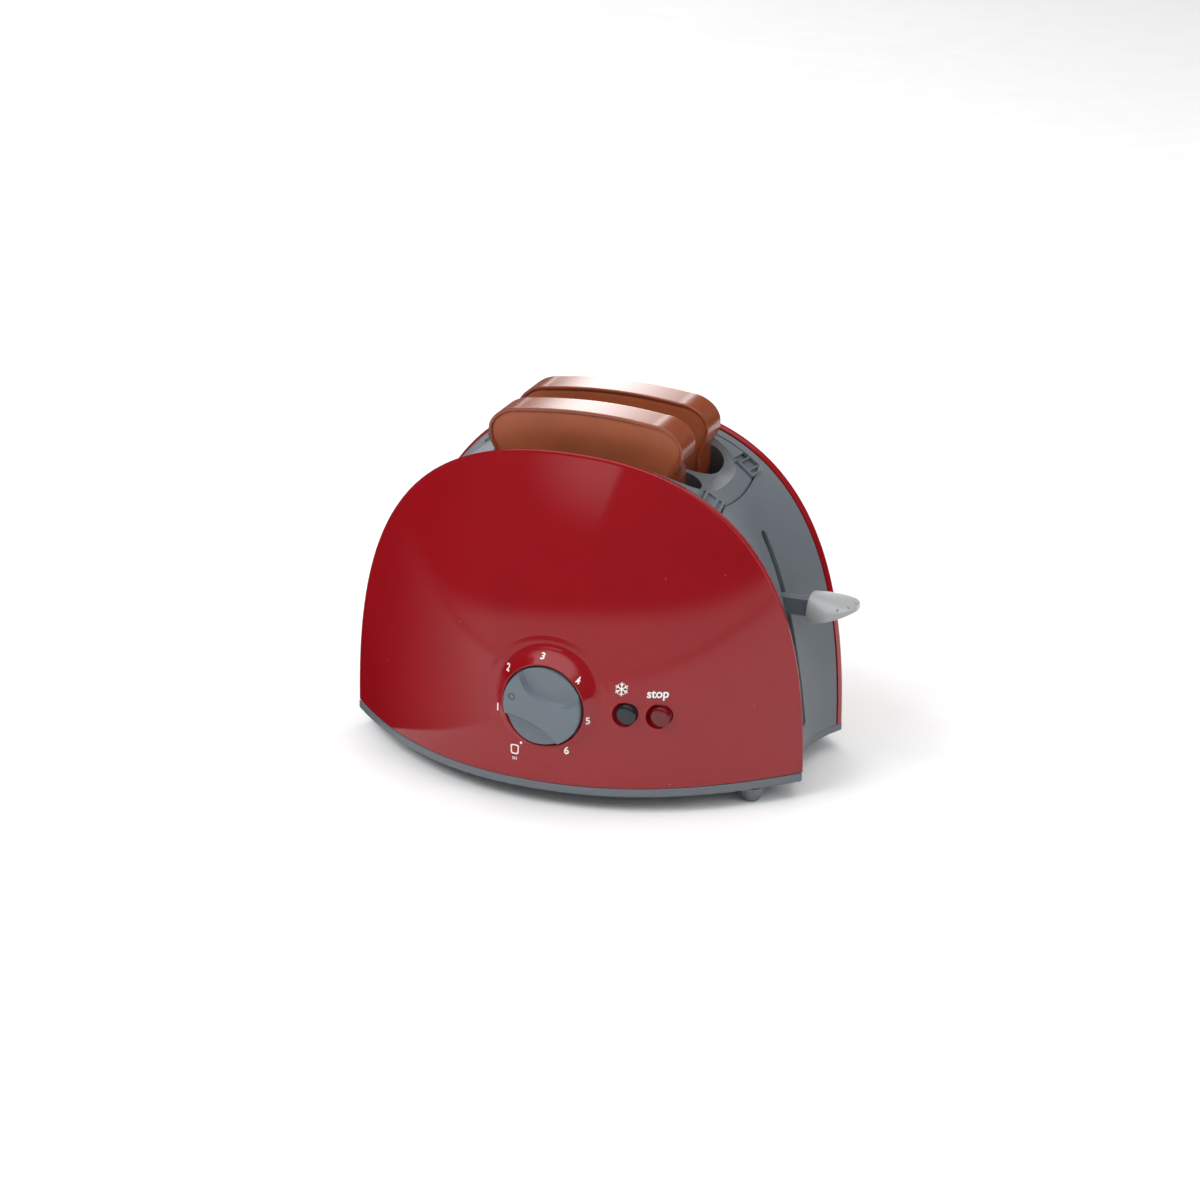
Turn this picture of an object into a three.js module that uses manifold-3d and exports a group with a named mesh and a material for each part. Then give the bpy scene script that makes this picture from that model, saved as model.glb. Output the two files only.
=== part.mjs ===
// Toy toaster with two bulging side shells, a curved middle housing, a lift carriage with a
// side lever, a browning dial, two push buttons and two toast slices.
// Sizes are in millimetres. X runs along the toaster with the lever at +X, the front with the
// dial faces -Y and +Z is up. The ground is at zero.
import * as THREE from 'three';
import { mergeVertices } from 'three/addons/utils/BufferGeometryUtils.js';
import Module from 'manifold-3d';

const wasm = await Module();
wasm.setup();

// Overall sizes
const foot_height = 6.5;
const plate_thickness = 3.7;
const seam = 0.3;
const shell_half_length = 95;
const shell_height = 122.4;
const shell_bottom = foot_height + plate_thickness + seam;

// Red side shells
const rim_half_gap = 37.4;
const rim_gap_narrowing = 10.9;
const dome_depth = 34.8;
const dome_bow_share = 2.2;
const wall = 2.2;
const flank_depth = 5.5;
const flank_draft = 1.6;
const edge_round = 0.6;
const arch_low_x_share = 0.9984;
const arch_low_z_share = 0.5525;
const arch_high_x_share = 0.8101;

// Boss that carries the dial
const dial_x = 4.2;
const dial_rise = 31.4;
const dial_z = shell_bottom + dial_rise;
const boss_sink = 0.8;
const boss_face_y = rim_half_gap + dome_depth - boss_sink;
const boss_radius = 16.6;
const boss_height = 7.6;
const boss_spread = 5.6;
const boss_well_radius = 16.3;
const boss_well_depth = 4.2;
const boss_well_floor_y = boss_face_y - boss_well_depth;
const boss_floor_thickness = 2.6;
const boss_back_y = boss_well_floor_y - boss_floor_thickness;
const boss_back_radius = 20.6;

// Middle housing between the shells
const housing_end_inset = 7;
const housing_half_length = shell_half_length - housing_end_inset;
const housing_crown_drop = 8.4;
const housing_height = shell_height - housing_crown_drop;
const housing_top_z = shell_bottom + housing_height;
const housing_low_x_share = 0.8473;
const housing_low_z_share = 1.0766;
const housing_high_x_share = 0.5007;
const housing_rim_inset = 2.2;
const housing_edge_clearance = 0.35;
const housing_wall = 2.2;
const slot_half_width = 2.2;
const slot_foot = 7.5;
const slot_bottom_z = shell_bottom + slot_foot;
const slot_top_drop = 26.5;
const slot_top_z = housing_top_z - slot_top_drop;
const slot_inner_reach = 33;
const slot_inner_x = housing_half_length - slot_inner_reach;
const slot_outer_reach = 11;
const slot_outer_x = housing_half_length + slot_outer_reach;
const post_radius = 4;
const post_hole_radius = 1.75;
const post_end_inset = 6.6;
const post_x = housing_half_length - post_end_inset;
const post_y = 12;
const post_height = 23.5;
const post_top_z = shell_bottom + post_height;

// Top cover, its opening round the slices, and its clips
const toast_thickness = 14.9;
const toast_pitch = 29.86;
const bread_slot_side_play = 2.02;
const bread_slot_outer_y = toast_pitch / 2 + toast_thickness / 2 + bread_slot_side_play;
const bread_slot_side_margin = 2.6;
const funnel_inner_half_width = bread_slot_outer_y + bread_slot_side_margin;
const funnel_side_run = 2.8;
const funnel_half_width = funnel_inner_half_width + funnel_side_run;
const cover_side_lip = 0.4;
const cover_end_inset = 32;
const cover_half_length = housing_half_length - cover_end_inset;
const cover_rim_margin = rim_half_gap - funnel_half_width - cover_side_lip;
const cover_gap = 0.4;
const cover_cut_below = 54.5;
const cover_floor_z = housing_top_z - cover_cut_below;
const cover_cut_above = 25.5;
const cover_ceiling_z = housing_top_z + cover_cut_above;
const funnel_end_margin = 3.4;
const funnel_half_length = cover_half_length - funnel_end_margin;
const funnel_roundness = 3.3;
const funnel_end_run = 6;
const funnel_inner_half_length = funnel_half_length - funnel_end_run;
const funnel_depth = 3;
const funnel_middle_depth_share = 0.62;
const funnel_skirt_depth = 6.7119;
const funnel_skirt_inset = 1.2;
const bread_slot_end_margin = 1.2;
const bread_slot_half_length = funnel_inner_half_length - bread_slot_end_margin;
const bread_slot_corner = 9.5;
const divider_half_width = 1.6;
const divider_depth = 4;
const clip_y = 23.5;
const clip_end_inset = 1.4;
const clip_x = cover_half_length - clip_end_inset;
const clip_seat = 0.01944;
const clip_length = 9;
const clip_width = 12.5;
const clip_thickness = 3.2;
const clip_window_length = 4.4;
const clip_window_width = 8.6;
const clip_window_depth = 0.8;
const clip_ridge = 1.4;
const clip_tilt_deg = 1.68336;
const clip_yaw_deg = 9;

// Base plate and feet
const base_end_recess = 7.5;
const base_edge_round = 1.2;
const foot_end_inset = 21.5;
const foot_x = shell_half_length - foot_end_inset;
const foot_shift = 3.7;
const foot_y = 35.1;
const foot_bottom_radius = 3.4;
const foot_top_radius = 5.9;
const foot_edge = 0.5;
const foot_peg_radius = 2.2;
const foot_peg_hole_radius = 2.5;
const foot_peg_cover = 1;
const foot_peg_top_z = foot_height + plate_thickness - foot_peg_cover;
const screw_head_radius = 3.1;
const screw_head_height = 1.5;
const screw_recess_radius = 3.6;
const screw_recess_depth = 1.9;
const screw_shank_radius = 1.45;
const screw_clear_radius = 1.8;
const screw_reach = 11.5;
const screw_tip_z = shell_bottom + screw_reach;
const screw_tip_length = 2;
const screw_cross_half_length = 1.9;
const screw_cross_half_width = 0.4;
const screw_cross_depth = 0.7;

// Carriage, lever and guide rods
const deck_drop = 56;
const deck_top_z = housing_top_z - deck_drop;
const deck_thickness = 2.6;
const deck_end_play = 4.4;
const deck_half_length = bread_slot_half_length - deck_end_play;
const fence_height = 11;
const fence_thickness = 1.8;
const fence_end_inset = 7;
const fence_half_length = deck_half_length - fence_end_inset;
const toast_side_play = 0.5;
const deck_lip = 0.72;
const deck_half_width = toast_pitch / 2 + toast_thickness / 2 + toast_side_play
  + fence_thickness + deck_lip;
const deck_hub_radius = 5.2;
const deck_hub_height = 9;
const rod_end_inset = 13;
const rod_x = deck_half_length - rod_end_inset;
const rod_radius = 2.5;
const rod_running_gap = 0.06;
const rod_top_drop = 22;
const rod_top_z = housing_top_z - rod_top_drop;
const rod_socket_radius = 4.6;
const rod_socket_height = 4;
const arm_half_width = 1.75;
const arm_below_deck = 2.8;
const arm_bottom_z = deck_top_z - arm_below_deck;
const arm_above_deck = 5;
const arm_top_z = deck_top_z + arm_above_deck;
const arm_bevel = 1.1;
const arm_root = 2;
const arm_start_x = rod_x + arm_root;
const knob_running_gap = 0.4;
const knob_base_x = housing_half_length + knob_running_gap;
const knob_length = 19.2;
const knob_tip_x = knob_base_x + knob_length;
const arm_tenon = 7.6;
const arm_end_x = knob_base_x + arm_tenon;
const arm_socket_gap = 0.15;
const knob_base_half_width = 7.8;
const knob_wide_half_width = 11;
const knob_base_cheek = 1;
const knob_base_bottom_z = arm_bottom_z - knob_base_cheek;
const knob_tip_rise = 5.2;
const knob_tip_bottom_z = arm_bottom_z + knob_tip_rise;
const knob_base_crown = 2.2;
const knob_base_top_z = arm_top_z + knob_base_crown;
const knob_tip_drop = 0.4;
const knob_tip_top_z = arm_top_z - knob_tip_drop;
const knob_lip = 1.6;
const knob_widest_share = 0.52;
const knob_nose_start_share = 0.4;
const knob_nose_power_share = 2.4;
const knob_under_share = 1.2;
const knob_crown_share = 1.6;
const knob_lip_share = 0.6;
const knob_round_share = 0.8;
const knob_end_share = 0.985;
const knob_keel_share = 0.6;
const slope_share = 0.001;
const half_share = 0.5;

// Springs
const lift_spring_radius = 3.9;
const lift_spring_wire = 0.45;
const lift_spring_turns = 7;
const button_spring_radius = 2.4;
const button_spring_wire = 0.3;
const button_spring_turns = 4;

// Dial and its retainer
const dial_radius = 15.8;
const dial_proud = 2.2;
const dial_face_y = boss_face_y + dial_proud;
const dial_back_y = boss_well_floor_y + seam;
const dial_edge_round = 0.5;
const dial_shaft_radius = 3;
const dial_shaft_hole_radius = 3.3;
const bracket_reach = 20.6;
const bracket_y = boss_back_y - bracket_reach;
const stem_reach = 3;
const stem_end_y = bracket_y - stem_reach;
const scoop_a_x = 5.5;
const scoop_a_z = 15.6;
const scoop_a_radius = 15.1;
const scoop_b_x = -17.5;
const scoop_b_z = -39;
const scoop_b_radius = 34.8;
const scoop_b_rim_radius = 27;
const scoop_wall_run = 1.6;
const scoop_deep = 2.3;
const scoop_floor_run = 4.5;
const scoop_shallow = 1;
const scoop_clear = 3;
const pointer_x = -12;
const pointer_z = 2.9;
const pointer_radius = 1.5;
const pointer_dot_radius = 0.7;
const pointer_depth = 0.4;
const retainer_radius = 6.4;
const retainer_thickness = 2;
const retainer_y = boss_back_y - wall;
const retainer_hole_radius = 3.15;

// Buttons
const defrost_spacing = 31.7;
const defrost_x = dial_x + defrost_spacing;
const defrost_drop = 1;
const defrost_z = dial_z - defrost_drop;
const defrost_face_drop = 4.9;
const defrost_face_y = boss_face_y - defrost_face_drop;
const stop_spacing = 43.9;
const stop_x = dial_x + stop_spacing;
const stop_drop = 1.7;
const stop_z = dial_z - stop_drop;
const stop_face_drop = 9.4;
const stop_face_y = boss_face_y - stop_face_drop;
const button_radius = 4;
const button_hole_radius = 4.2;
const button_crown = 1.1;
const button_length = 9;
const button_flange_radius = 5.4;
const button_flange_thickness = 1.2;
const button_pin_radius = 1.6;
const button_throw = 2;

// Bracket behind the controls
const bracket_thickness = 2;
const bracket_dial_side = 13.2;
const bracket_left_x = dial_x - bracket_dial_side;
const bracket_button_side = 7.9;
const bracket_right_x = stop_x + bracket_button_side;
const bracket_above_dial = 10.6;
const bracket_top_z = dial_z + bracket_above_dial;
const bracket_foot_depth = 9;
const bracket_shaft_hole_radius = 3.4;
const bracket_pin_hole_radius = 2;

// Toast slices
const toast_x = 1.4;
const toast_bottom_z = deck_top_z + seam;
const toast_height = 76.3;
const toast_top_z = toast_bottom_z + toast_height;
const toast_crown = 2;
const toast_shoulder_z = toast_top_z - toast_crown;
const toast_end_play = 5.1;
const toast_head_half_width = bread_slot_half_length - toast_end_play;
const toast_shoulder_inset = 11.9;
const toast_shoulder_x = toast_head_half_width - toast_shoulder_inset;
const toast_head_drop = 11.8;
const toast_head_z = toast_top_z - toast_head_drop;
const toast_neck_drop = 21.6;
const toast_neck_z = toast_top_z - toast_neck_drop;
const toast_neck_inset = 3.7;
const toast_body_half_width = toast_head_half_width - toast_neck_inset;
const toast_corner = 7;
const toast_edge_round = 0.7;
const toast_bead = 2.4;
const toast_recess = 0.7;

// Facet counts
const arch_steps = 15;
const dome_rows = 7;
const section_steps = 5;
const funnel_steps = 36;
const search_steps = 30;
const coil_steps = 7;
const wire_steps = 2;
const round_steps = 32;
const small_round_steps = 16;
const tiny_round_steps = 10;

const red = new THREE.MeshStandardMaterial({ color: 0x9e1420, roughness: 0.18, metalness: 0 });
const grey = new THREE.MeshStandardMaterial({ color: 0x7d868d, roughness: 0.45, metalness: 0 });
const silver = new THREE.MeshStandardMaterial({ color: 0xb4b7ba, roughness: 0.35, metalness: 0.1 });
const black = new THREE.MeshStandardMaterial({ color: 0x15171a, roughness: 0.2, metalness: 0 });
const signal = new THREE.MeshStandardMaterial({ color: 0xa01822, roughness: 0.15, metalness: 0 });
const steel = new THREE.MeshStandardMaterial({ color: 0xa9adb0, roughness: 0.3, metalness: 0.9 });
const brown = new THREE.MeshStandardMaterial({ color: 0x8a4526, roughness: 0.35, metalness: 0 });
const dark = new THREE.MeshStandardMaterial({ color: 0x3a3f44, roughness: 0.6, metalness: 0 });

// General helpers

function bezier(a, b, c, d, t) {
  const s = 1 - t;
  return s * s * s * a + 3 * s * s * t * b + 3 * s * t * t * c + t * t * t * d;
}

function outward(geometry) {
  const position = geometry.getAttribute('position');
  const index = geometry.getIndex();
  const a = new THREE.Vector3();
  const b = new THREE.Vector3();
  const c = new THREE.Vector3();
  let volume = 0;
  for (let i = 0; i < index.count; i += 3) {
    a.fromBufferAttribute(position, index.getX(i));
    b.fromBufferAttribute(position, index.getX(i + 1));
    c.fromBufferAttribute(position, index.getX(i + 2));
    volume += a.dot(b.cross(c));
  }
  if (volume < 0) {
    for (let i = 0; i < index.count; i += 3) {
      const first = index.getX(i);
      index.setX(i, index.getX(i + 1));
      index.setX(i + 1, first);
    }
  }
  return geometry;
}

function fromTriangles(triangles) {
  const values = [];
  for (const [a, b, c] of triangles) {
    const flat = (p, q) => p[0] === q[0] && p[1] === q[1] && p[2] === q[2];
    if (flat(a, b) || flat(b, c) || flat(a, c)) {
      continue;
    }
    values.push(...a, ...b, ...c);
  }
  const geometry = new THREE.BufferGeometry();
  geometry.setAttribute('position', new THREE.Float32BufferAttribute(values, 3));
  return outward(mergeVertices(geometry));
}

function toSolid(source) {
  const geometry = source.clone();
  geometry.deleteAttribute('normal');
  geometry.deleteAttribute('uv');
  const merged = mergeVertices(geometry);
  const kept = [];
  const index = merged.getIndex();
  for (let i = 0; i < index.count; i += 3) {
    const [a, b, c] = [index.getX(i), index.getX(i + 1), index.getX(i + 2)];
    if (a !== b && b !== c && a !== c) {
      kept.push(a, b, c);
    }
  }
  merged.setIndex(kept);
  outward(merged);
  const mesh = new wasm.Mesh({
    numProp: 3,
    vertProperties: new Float32Array(merged.getAttribute('position').array),
    triVerts: new Uint32Array(merged.getIndex().array),
  });
  return new wasm.Manifold(mesh);
}

function fromSolid(solid) {
  const mesh = solid.getMesh();
  const geometry = new THREE.BufferGeometry();
  const values = new Float32Array(mesh.vertProperties);
  geometry.setAttribute('position', new THREE.BufferAttribute(values, 3));
  geometry.setIndex(Array.from(mesh.triVerts));
  return geometry;
}

function boxBetween(x0, x1, y0, y1, z0, z1) {
  const geometry = new THREE.BoxGeometry(x1 - x0, y1 - y0, z1 - z0);
  geometry.translate((x0 + x1) / 2, (y0 + y1) / 2, (z0 + z1) / 2);
  return toSolid(geometry);
}

function rodAlongY(radius, x, z, y0, y1, steps) {
  const geometry = new THREE.CylinderGeometry(radius, radius, y1 - y0, steps);
  geometry.translate(x, (y0 + y1) / 2, z);
  return toSolid(geometry);
}

function rodAlongZ(radius, x, y, z0, z1, steps) {
  const geometry = new THREE.CylinderGeometry(radius, radius, z1 - z0, steps);
  geometry.rotateX(Math.PI / 2);
  geometry.translate(x, y, (z0 + z1) / 2);
  return toSolid(geometry);
}

function rodAlongX(radius, y, z, x0, x1, steps) {
  const geometry = new THREE.CylinderGeometry(radius, radius, x1 - x0, steps);
  geometry.rotateZ(Math.PI / 2);
  geometry.translate((x0 + x1) / 2, y, z);
  return toSolid(geometry);
}

// Turned body about a line along Z: points are [radius, height].
function turnedAlongZ(points, x, y, steps) {
  const geometry = new THREE.LatheGeometry(points.map((p) => new THREE.Vector2(p[0], p[1])), steps);
  geometry.rotateX(Math.PI / 2);
  geometry.translate(x, y, 0);
  return toSolid(geometry);
}

// Turned body about a line along Y: points are [radius, y].
function turnedAlongY(points, x, z, steps) {
  const geometry = new THREE.LatheGeometry(points.map((p) => new THREE.Vector2(p[0], p[1])), steps);
  geometry.translate(x, 0, z);
  return toSolid(geometry);
}

// Closed body from two matching grids of points, an outer and an inner skin.
function skinBody(outer, inner) {
  const triangles = [];
  const quad = (a, b, c, d) => {
    triangles.push([a, b, c], [a, c, d]);
  };
  const columns = outer.length - 1;
  const rows = outer[0].length - 1;
  for (let i = 0; i < columns; i += 1) {
    for (let j = 0; j < rows; j += 1) {
      quad(outer[i][j], outer[i + 1][j], outer[i + 1][j + 1], outer[i][j + 1]);
      quad(inner[i][j], inner[i][j + 1], inner[i + 1][j + 1], inner[i + 1][j]);
    }
    quad(outer[i][0], inner[i][0], inner[i + 1][0], outer[i + 1][0]);
    quad(outer[i][rows], outer[i + 1][rows], inner[i + 1][rows], inner[i][rows]);
  }
  for (let j = 0; j < rows; j += 1) {
    quad(outer[0][j], outer[0][j + 1], inner[0][j + 1], inner[0][j]);
    quad(outer[columns][j], inner[columns][j], inner[columns][j + 1], outer[columns][j + 1]);
  }
  return fromTriangles(triangles);
}

// Closed body through a row of closed sections, with flat caps on the first and last.
function sectionBody(sections) {
  const triangles = [];
  const count = sections[0].length;
  for (let k = 0; k < sections.length - 1; k += 1) {
    for (let i = 0; i < count; i += 1) {
      const n = (i + 1) % count;
      triangles.push([sections[k][i], sections[k][n], sections[k + 1][n]]);
      triangles.push([sections[k][i], sections[k + 1][n], sections[k + 1][i]]);
    }
  }
  const half = Math.floor(count / 2);
  const capped = [[sections[0], true], [sections[sections.length - 1], false]];
  for (const [ring, turned] of capped) {
    for (let i = 0; i < half; i += 1) {
      const [a, b] = [ring[i], ring[i + 1]];
      const [c, d] = [ring[count - 2 - i], ring[count - 1 - i]];
      if (i + 1 > count - 2 - i) {
        break;
      }
      const pair = [[a, b, c], [a, c, d]];
      for (const [p, q, r] of pair) {
        triangles.push(turned ? [p, r, q] : [p, q, r]);
      }
    }
  }
  return fromTriangles(triangles);
}

// Closed ring body: the profile is carried round a closed loop.
function ringBody(loops) {
  const triangles = [];
  const rings = loops.length;
  const count = loops[0].length;
  for (let k = 0; k < rings; k += 1) {
    for (let i = 0; i < count; i += 1) {
      const [m, n] = [(k + 1) % rings, (i + 1) % count];
      triangles.push([loops[k][i], loops[k][n], loops[m][n]]);
      triangles.push([loops[k][i], loops[m][n], loops[m][i]]);
    }
  }
  return fromTriangles(triangles);
}

function corners() {
  return [[1, -1], [1, 1], [-1, -1], [-1, 1]];
}

// Outlines of the toaster

// Point and inward direction on the arch of the shells, t from 0 at +X to 1 at the top.
function archPoint(t) {
  const x = bezier(shell_half_length, shell_half_length * arch_low_x_share,
    shell_half_length * arch_high_x_share, 0, t);
  const z = bezier(0, shell_height * arch_low_z_share, shell_height, shell_height, t);
  return [x, z];
}

function housingPoint(t) {
  const x = bezier(housing_half_length, housing_half_length * housing_low_x_share,
    housing_half_length * housing_high_x_share, 0, t);
  const z = bezier(0, housing_height * housing_low_z_share, housing_height, housing_height, t);
  return [x, z];
}

function insetPoint(curve, t, distance) {
  const before = curve(Math.max(0, t - slope_share));
  const after = curve(Math.min(1, t + slope_share));
  const along = [after[0] - before[0], after[1] - before[1]];
  const length = Math.hypot(along[0], along[1]);
  const here = curve(t);
  return [here[0] - (distance * along[1]) / length, here[1] + (distance * along[0]) / length];
}

// The whole arch from +X over the top to -X, moved inwards by a distance.
function fullArch(curve, distance, steps) {
  const points = [];
  for (let i = 0; i <= 2 * steps; i += 1) {
    const t = i <= steps ? i / steps : (2 * steps - i) / steps;
    const [x, z] = insetPoint(curve, t, distance);
    points.push([i <= steps ? x : -x, i === 0 || i === 2 * steps ? 0 : z]);
  }
  points[steps][0] = 0;
  return points;
}

function rimHalfGap(x) {
  return rim_half_gap - rim_gap_narrowing * (x / shell_half_length) ** 2;
}

function domeReach(x, share) {
  const bow = 1 - Math.min(Math.abs(x) / shell_half_length, 1) ** dome_bow_share;
  return rimHalfGap(x) + dome_depth * bow * (1 - share * share);
}

// Red shells

function shellSkin(side) {
  const rim = fullArch(archPoint, 0, arch_steps);
  const rounded = fullArch(archPoint, edge_round, arch_steps);
  const inside = fullArch(archPoint, wall, arch_steps);
  const lip = fullArch(archPoint, flank_draft, arch_steps);
  const lipInside = fullArch(archPoint, flank_draft + wall, arch_steps);
  const outer = [];
  const inner = [];
  for (let i = 0; i < rim.length; i += 1) {
    const outerColumn = [];
    const innerColumn = [];
    const gap = rimHalfGap(rim[i][0]);
    for (let j = 0; j <= dome_rows; j += 1) {
      const share = j / dome_rows;
      const reach = domeReach(rim[i][0], share);
      outerColumn.push([rounded[i][0], side * reach, shell_bottom + rounded[i][1] * share]);
      innerColumn.push([inside[i][0], side * (reach - wall), shell_bottom + inside[i][1] * share]);
    }
    outerColumn.push([rim[i][0], side * (gap - edge_round), shell_bottom + rim[i][1]]);
    innerColumn.push([inside[i][0], side * (gap - wall - edge_round), shell_bottom + inside[i][1]]);
    const edge = side * (gap - flank_depth);
    outerColumn.push([lip[i][0], edge, shell_bottom + lip[i][1]]);
    innerColumn.push([lipInside[i][0], edge, shell_bottom + lipInside[i][1]]);
    outer.push(outerColumn);
    inner.push(innerColumn);
  }
  return skinBody(outer, inner);
}

function frontShell() {
  let body = toSolid(shellSkin(-1));
  const boss = turnedAlongY([
    [0, -boss_face_y],
    [boss_radius + dial_edge_round, -boss_face_y],
    [boss_radius + boss_spread, boss_height - boss_face_y],
    [boss_back_radius, -boss_back_y + wall],
    [0, -boss_back_y + wall],
  ], dial_x, dial_z, round_steps);
  body = body.add(boss);
  body = body.subtract(rodAlongY(boss_well_radius, dial_x, dial_z,
    -boss_face_y - wall, -boss_well_floor_y, round_steps));
  body = body.subtract(rodAlongY(dial_shaft_hole_radius, dial_x, dial_z,
    -boss_face_y, -boss_back_y + 2 * wall, small_round_steps));
  for (const [x, z] of [[defrost_x, defrost_z], [stop_x, stop_z]]) {
    body = body.subtract(rodAlongY(button_hole_radius, x, z,
      -boss_face_y, -bracket_y, small_round_steps));
  }
  return fromSolid(body);
}

function rearShell() {
  return shellSkin(1);
}

// Middle housing and top cover

// Closed body under the curved outer face of the housing, moved inwards by a distance.
function saddleBody(distance, widening, bottom) {
  const sections = [];
  const steps = arch_steps;
  for (let k = 0; k <= 2 * section_steps; k += 1) {
    const v = k / section_steps - 1;
    const hollow = 1 - v * v;
    const ring = [];
    for (let i = 0; i <= 2 * steps; i += 1) {
      const t = i <= steps ? i / steps : (2 * steps - i) / steps;
      const mirror = i <= steps ? 1 : -1;
      const rim = insetPoint(archPoint, t, housing_rim_inset + distance);
      const middle = insetPoint(housingPoint, t, distance);
      const x = rim[0] + (middle[0] - rim[0]) * hollow;
      const z = rim[1] + (middle[1] - rim[1]) * hollow;
      const gap = rimHalfGap(archPoint(t)[0]) - flank_depth - housing_edge_clearance;
      ring.push([i === steps ? 0 : mirror * x, v * gap * widening, shell_bottom + z]);
    }
    ring[0][2] = bottom;
    ring[2 * steps][2] = bottom;
    sections.push(ring);
  }
  return toSolid(sectionBody(sections));
}

// Upright block between the rims in plan, a margin away from both of them.
function uprightBlock(half, rimMargin) {
  const shape = new THREE.Shape();
  const steps = section_steps;
  for (let i = 0; i <= 2 * steps; i += 1) {
    const x = half * (i / steps - 1);
    const y = rimHalfGap(x) - rimMargin;
    if (i === 0) {
      shape.moveTo(x, -y);
    } else {
      shape.lineTo(x, -y);
    }
  }
  for (let i = 0; i <= 2 * steps; i += 1) {
    const x = half * (1 - i / steps);
    shape.lineTo(x, rimHalfGap(x) - rimMargin);
  }
  const depth = cover_ceiling_z - cover_floor_z;
  const geometry = new THREE.ExtrudeGeometry(shape, { depth, bevelEnabled: false });
  geometry.translate(0, 0, cover_floor_z);
  return toSolid(geometry);
}

function coverBlock(margin) {
  return uprightBlock(cover_half_length + margin, cover_rim_margin - margin);
}

// Point on the curved outer face of the housing, t along the arch and v across it.
function saddlePoint(t, v) {
  const hollow = 1 - v * v;
  const rim = insetPoint(archPoint, t, housing_rim_inset);
  const middle = housingPoint(t);
  const gap = rimHalfGap(archPoint(t)[0]) - flank_depth - housing_edge_clearance;
  return [rim[0] + (middle[0] - rim[0]) * hollow, v * gap, rim[1] + (middle[1] - rim[1]) * hollow];
}

// Height of the curved outer face above a point in plan.
function saddleHeight(x, y) {
  const target = Math.abs(x);
  let low = 0;
  let high = 1;
  let height = 0;
  for (let i = 0; i < search_steps; i += 1) {
    const t = (low + high) / 2;
    const gap = rimHalfGap(archPoint(t)[0]) - flank_depth - housing_edge_clearance;
    const point = saddlePoint(t, y / gap);
    height = point[2];
    if (point[0] > target) {
      low = t;
    } else {
      high = t;
    }
  }
  return shell_bottom + height;
}

// Rounded outline of the bread opening, its points mirrored front to rear.
function funnelOutline(halfLength, halfWidth) {
  const points = [];
  const power = 2 / funnel_roundness;
  for (let i = 0; i < funnel_steps; i += 1) {
    const angle = (2 * Math.PI * (i + half_share)) / funnel_steps;
    const c = Math.cos(angle);
    const s = Math.sin(angle);
    points.push([halfLength * Math.sign(c) * Math.abs(c) ** power,
      halfWidth * Math.sign(s) * Math.abs(s) ** power]);
  }
  return points;
}

// Space above the sunken face that leads down to the two bread slots.
function funnelSpace() {
  const contour = funnelOutline(funnel_half_length, funnel_half_width);
  const inner = funnelOutline(funnel_inner_half_length, funnel_inner_half_width);
  const middle = contour.map(([x, y], i) => [(x + inner[i][0]) / 2, (y + inner[i][1]) / 2]);
  const fall = (points, depth) => points.map(([x, y]) => [x, y, saddleHeight(x, y) - depth]);
  return toSolid(sectionBody([
    contour.map(([x, y]) => [x, y, cover_ceiling_z]),
    fall(contour, 0),
    fall(middle, funnel_depth * funnel_middle_depth_share),
    fall(inner, funnel_depth),
    fall(inner.map(([x]) => [x, 0]), divider_depth),
  ]));
}

function funnelCore() {
  const half = funnel_half_length - funnel_skirt_inset;
  const outline = funnelOutline(half, funnel_half_width - funnel_skirt_inset);
  const bottom = saddleHeight(half, 0) - funnel_skirt_depth;
  return toSolid(sectionBody([
    outline.map(([x, y]) => [x, y, cover_ceiling_z - funnel_depth]),
    outline.map(([x, y]) => [x, y, bottom]),
  ]));
}

function breadSlot(sideSign) {
  const a = bread_slot_half_length;
  const low = divider_half_width;
  const high = bread_slot_outer_y;
  const r = bread_slot_corner;
  const shape = new THREE.Shape();
  shape.moveTo(r - a, low);
  shape.lineTo(a - r, low);
  shape.quadraticCurveTo(a, low, a, low + r);
  shape.lineTo(a, high - r);
  shape.quadraticCurveTo(a, high, a - r, high);
  shape.lineTo(r - a, high);
  shape.quadraticCurveTo(-a, high, -a, high - r);
  shape.lineTo(-a, low + r);
  shape.quadraticCurveTo(-a, low, r - a, low);
  const depth = cover_ceiling_z - cover_floor_z;
  const geometry = new THREE.ExtrudeGeometry(shape, { depth, curveSegments: 5,
    bevelEnabled: false });
  geometry.translate(0, 0, cover_floor_z);
  if (sideSign < 0) {
    geometry.scale(1, -1, 1);
  }
  return toSolid(geometry);
}

// Places a body made lying flat at the origin onto the sloping shoulder at one corner.
function placeClip(geometry, endSign, sideSign) {
  const run = clip_length / 2;
  const fall = saddleHeight(clip_x - run, clip_y) - saddleHeight(clip_x + run, clip_y);
  const slope = Math.atan2(fall, clip_length) + THREE.MathUtils.degToRad(clip_tilt_deg);
  const yaw = THREE.MathUtils.degToRad(clip_yaw_deg);
  geometry.rotateZ(-sideSign * yaw);
  geometry.rotateY(slope);
  geometry.translate(clip_x, sideSign * clip_y, saddleHeight(clip_x, clip_y) + clip_seat);
  if (endSign < 0) {
    geometry.scale(-1, 1, 1);
  }
  return toSolid(geometry);
}

function clipBody(endSign, sideSign, margin) {
  const geometry = new THREE.BoxGeometry(clip_length + 2 * margin, clip_width + 2 * margin,
    clip_thickness + 2 * margin);
  return placeClip(geometry, endSign, sideSign);
}

function clipWindow(endSign, sideSign) {
  const geometry = new THREE.BoxGeometry(clip_window_length, clip_window_width,
    2 * clip_window_depth);
  geometry.translate(-clip_ridge / 2, 0, clip_thickness / 2);
  return placeClip(geometry, endSign, sideSign);
}

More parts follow.
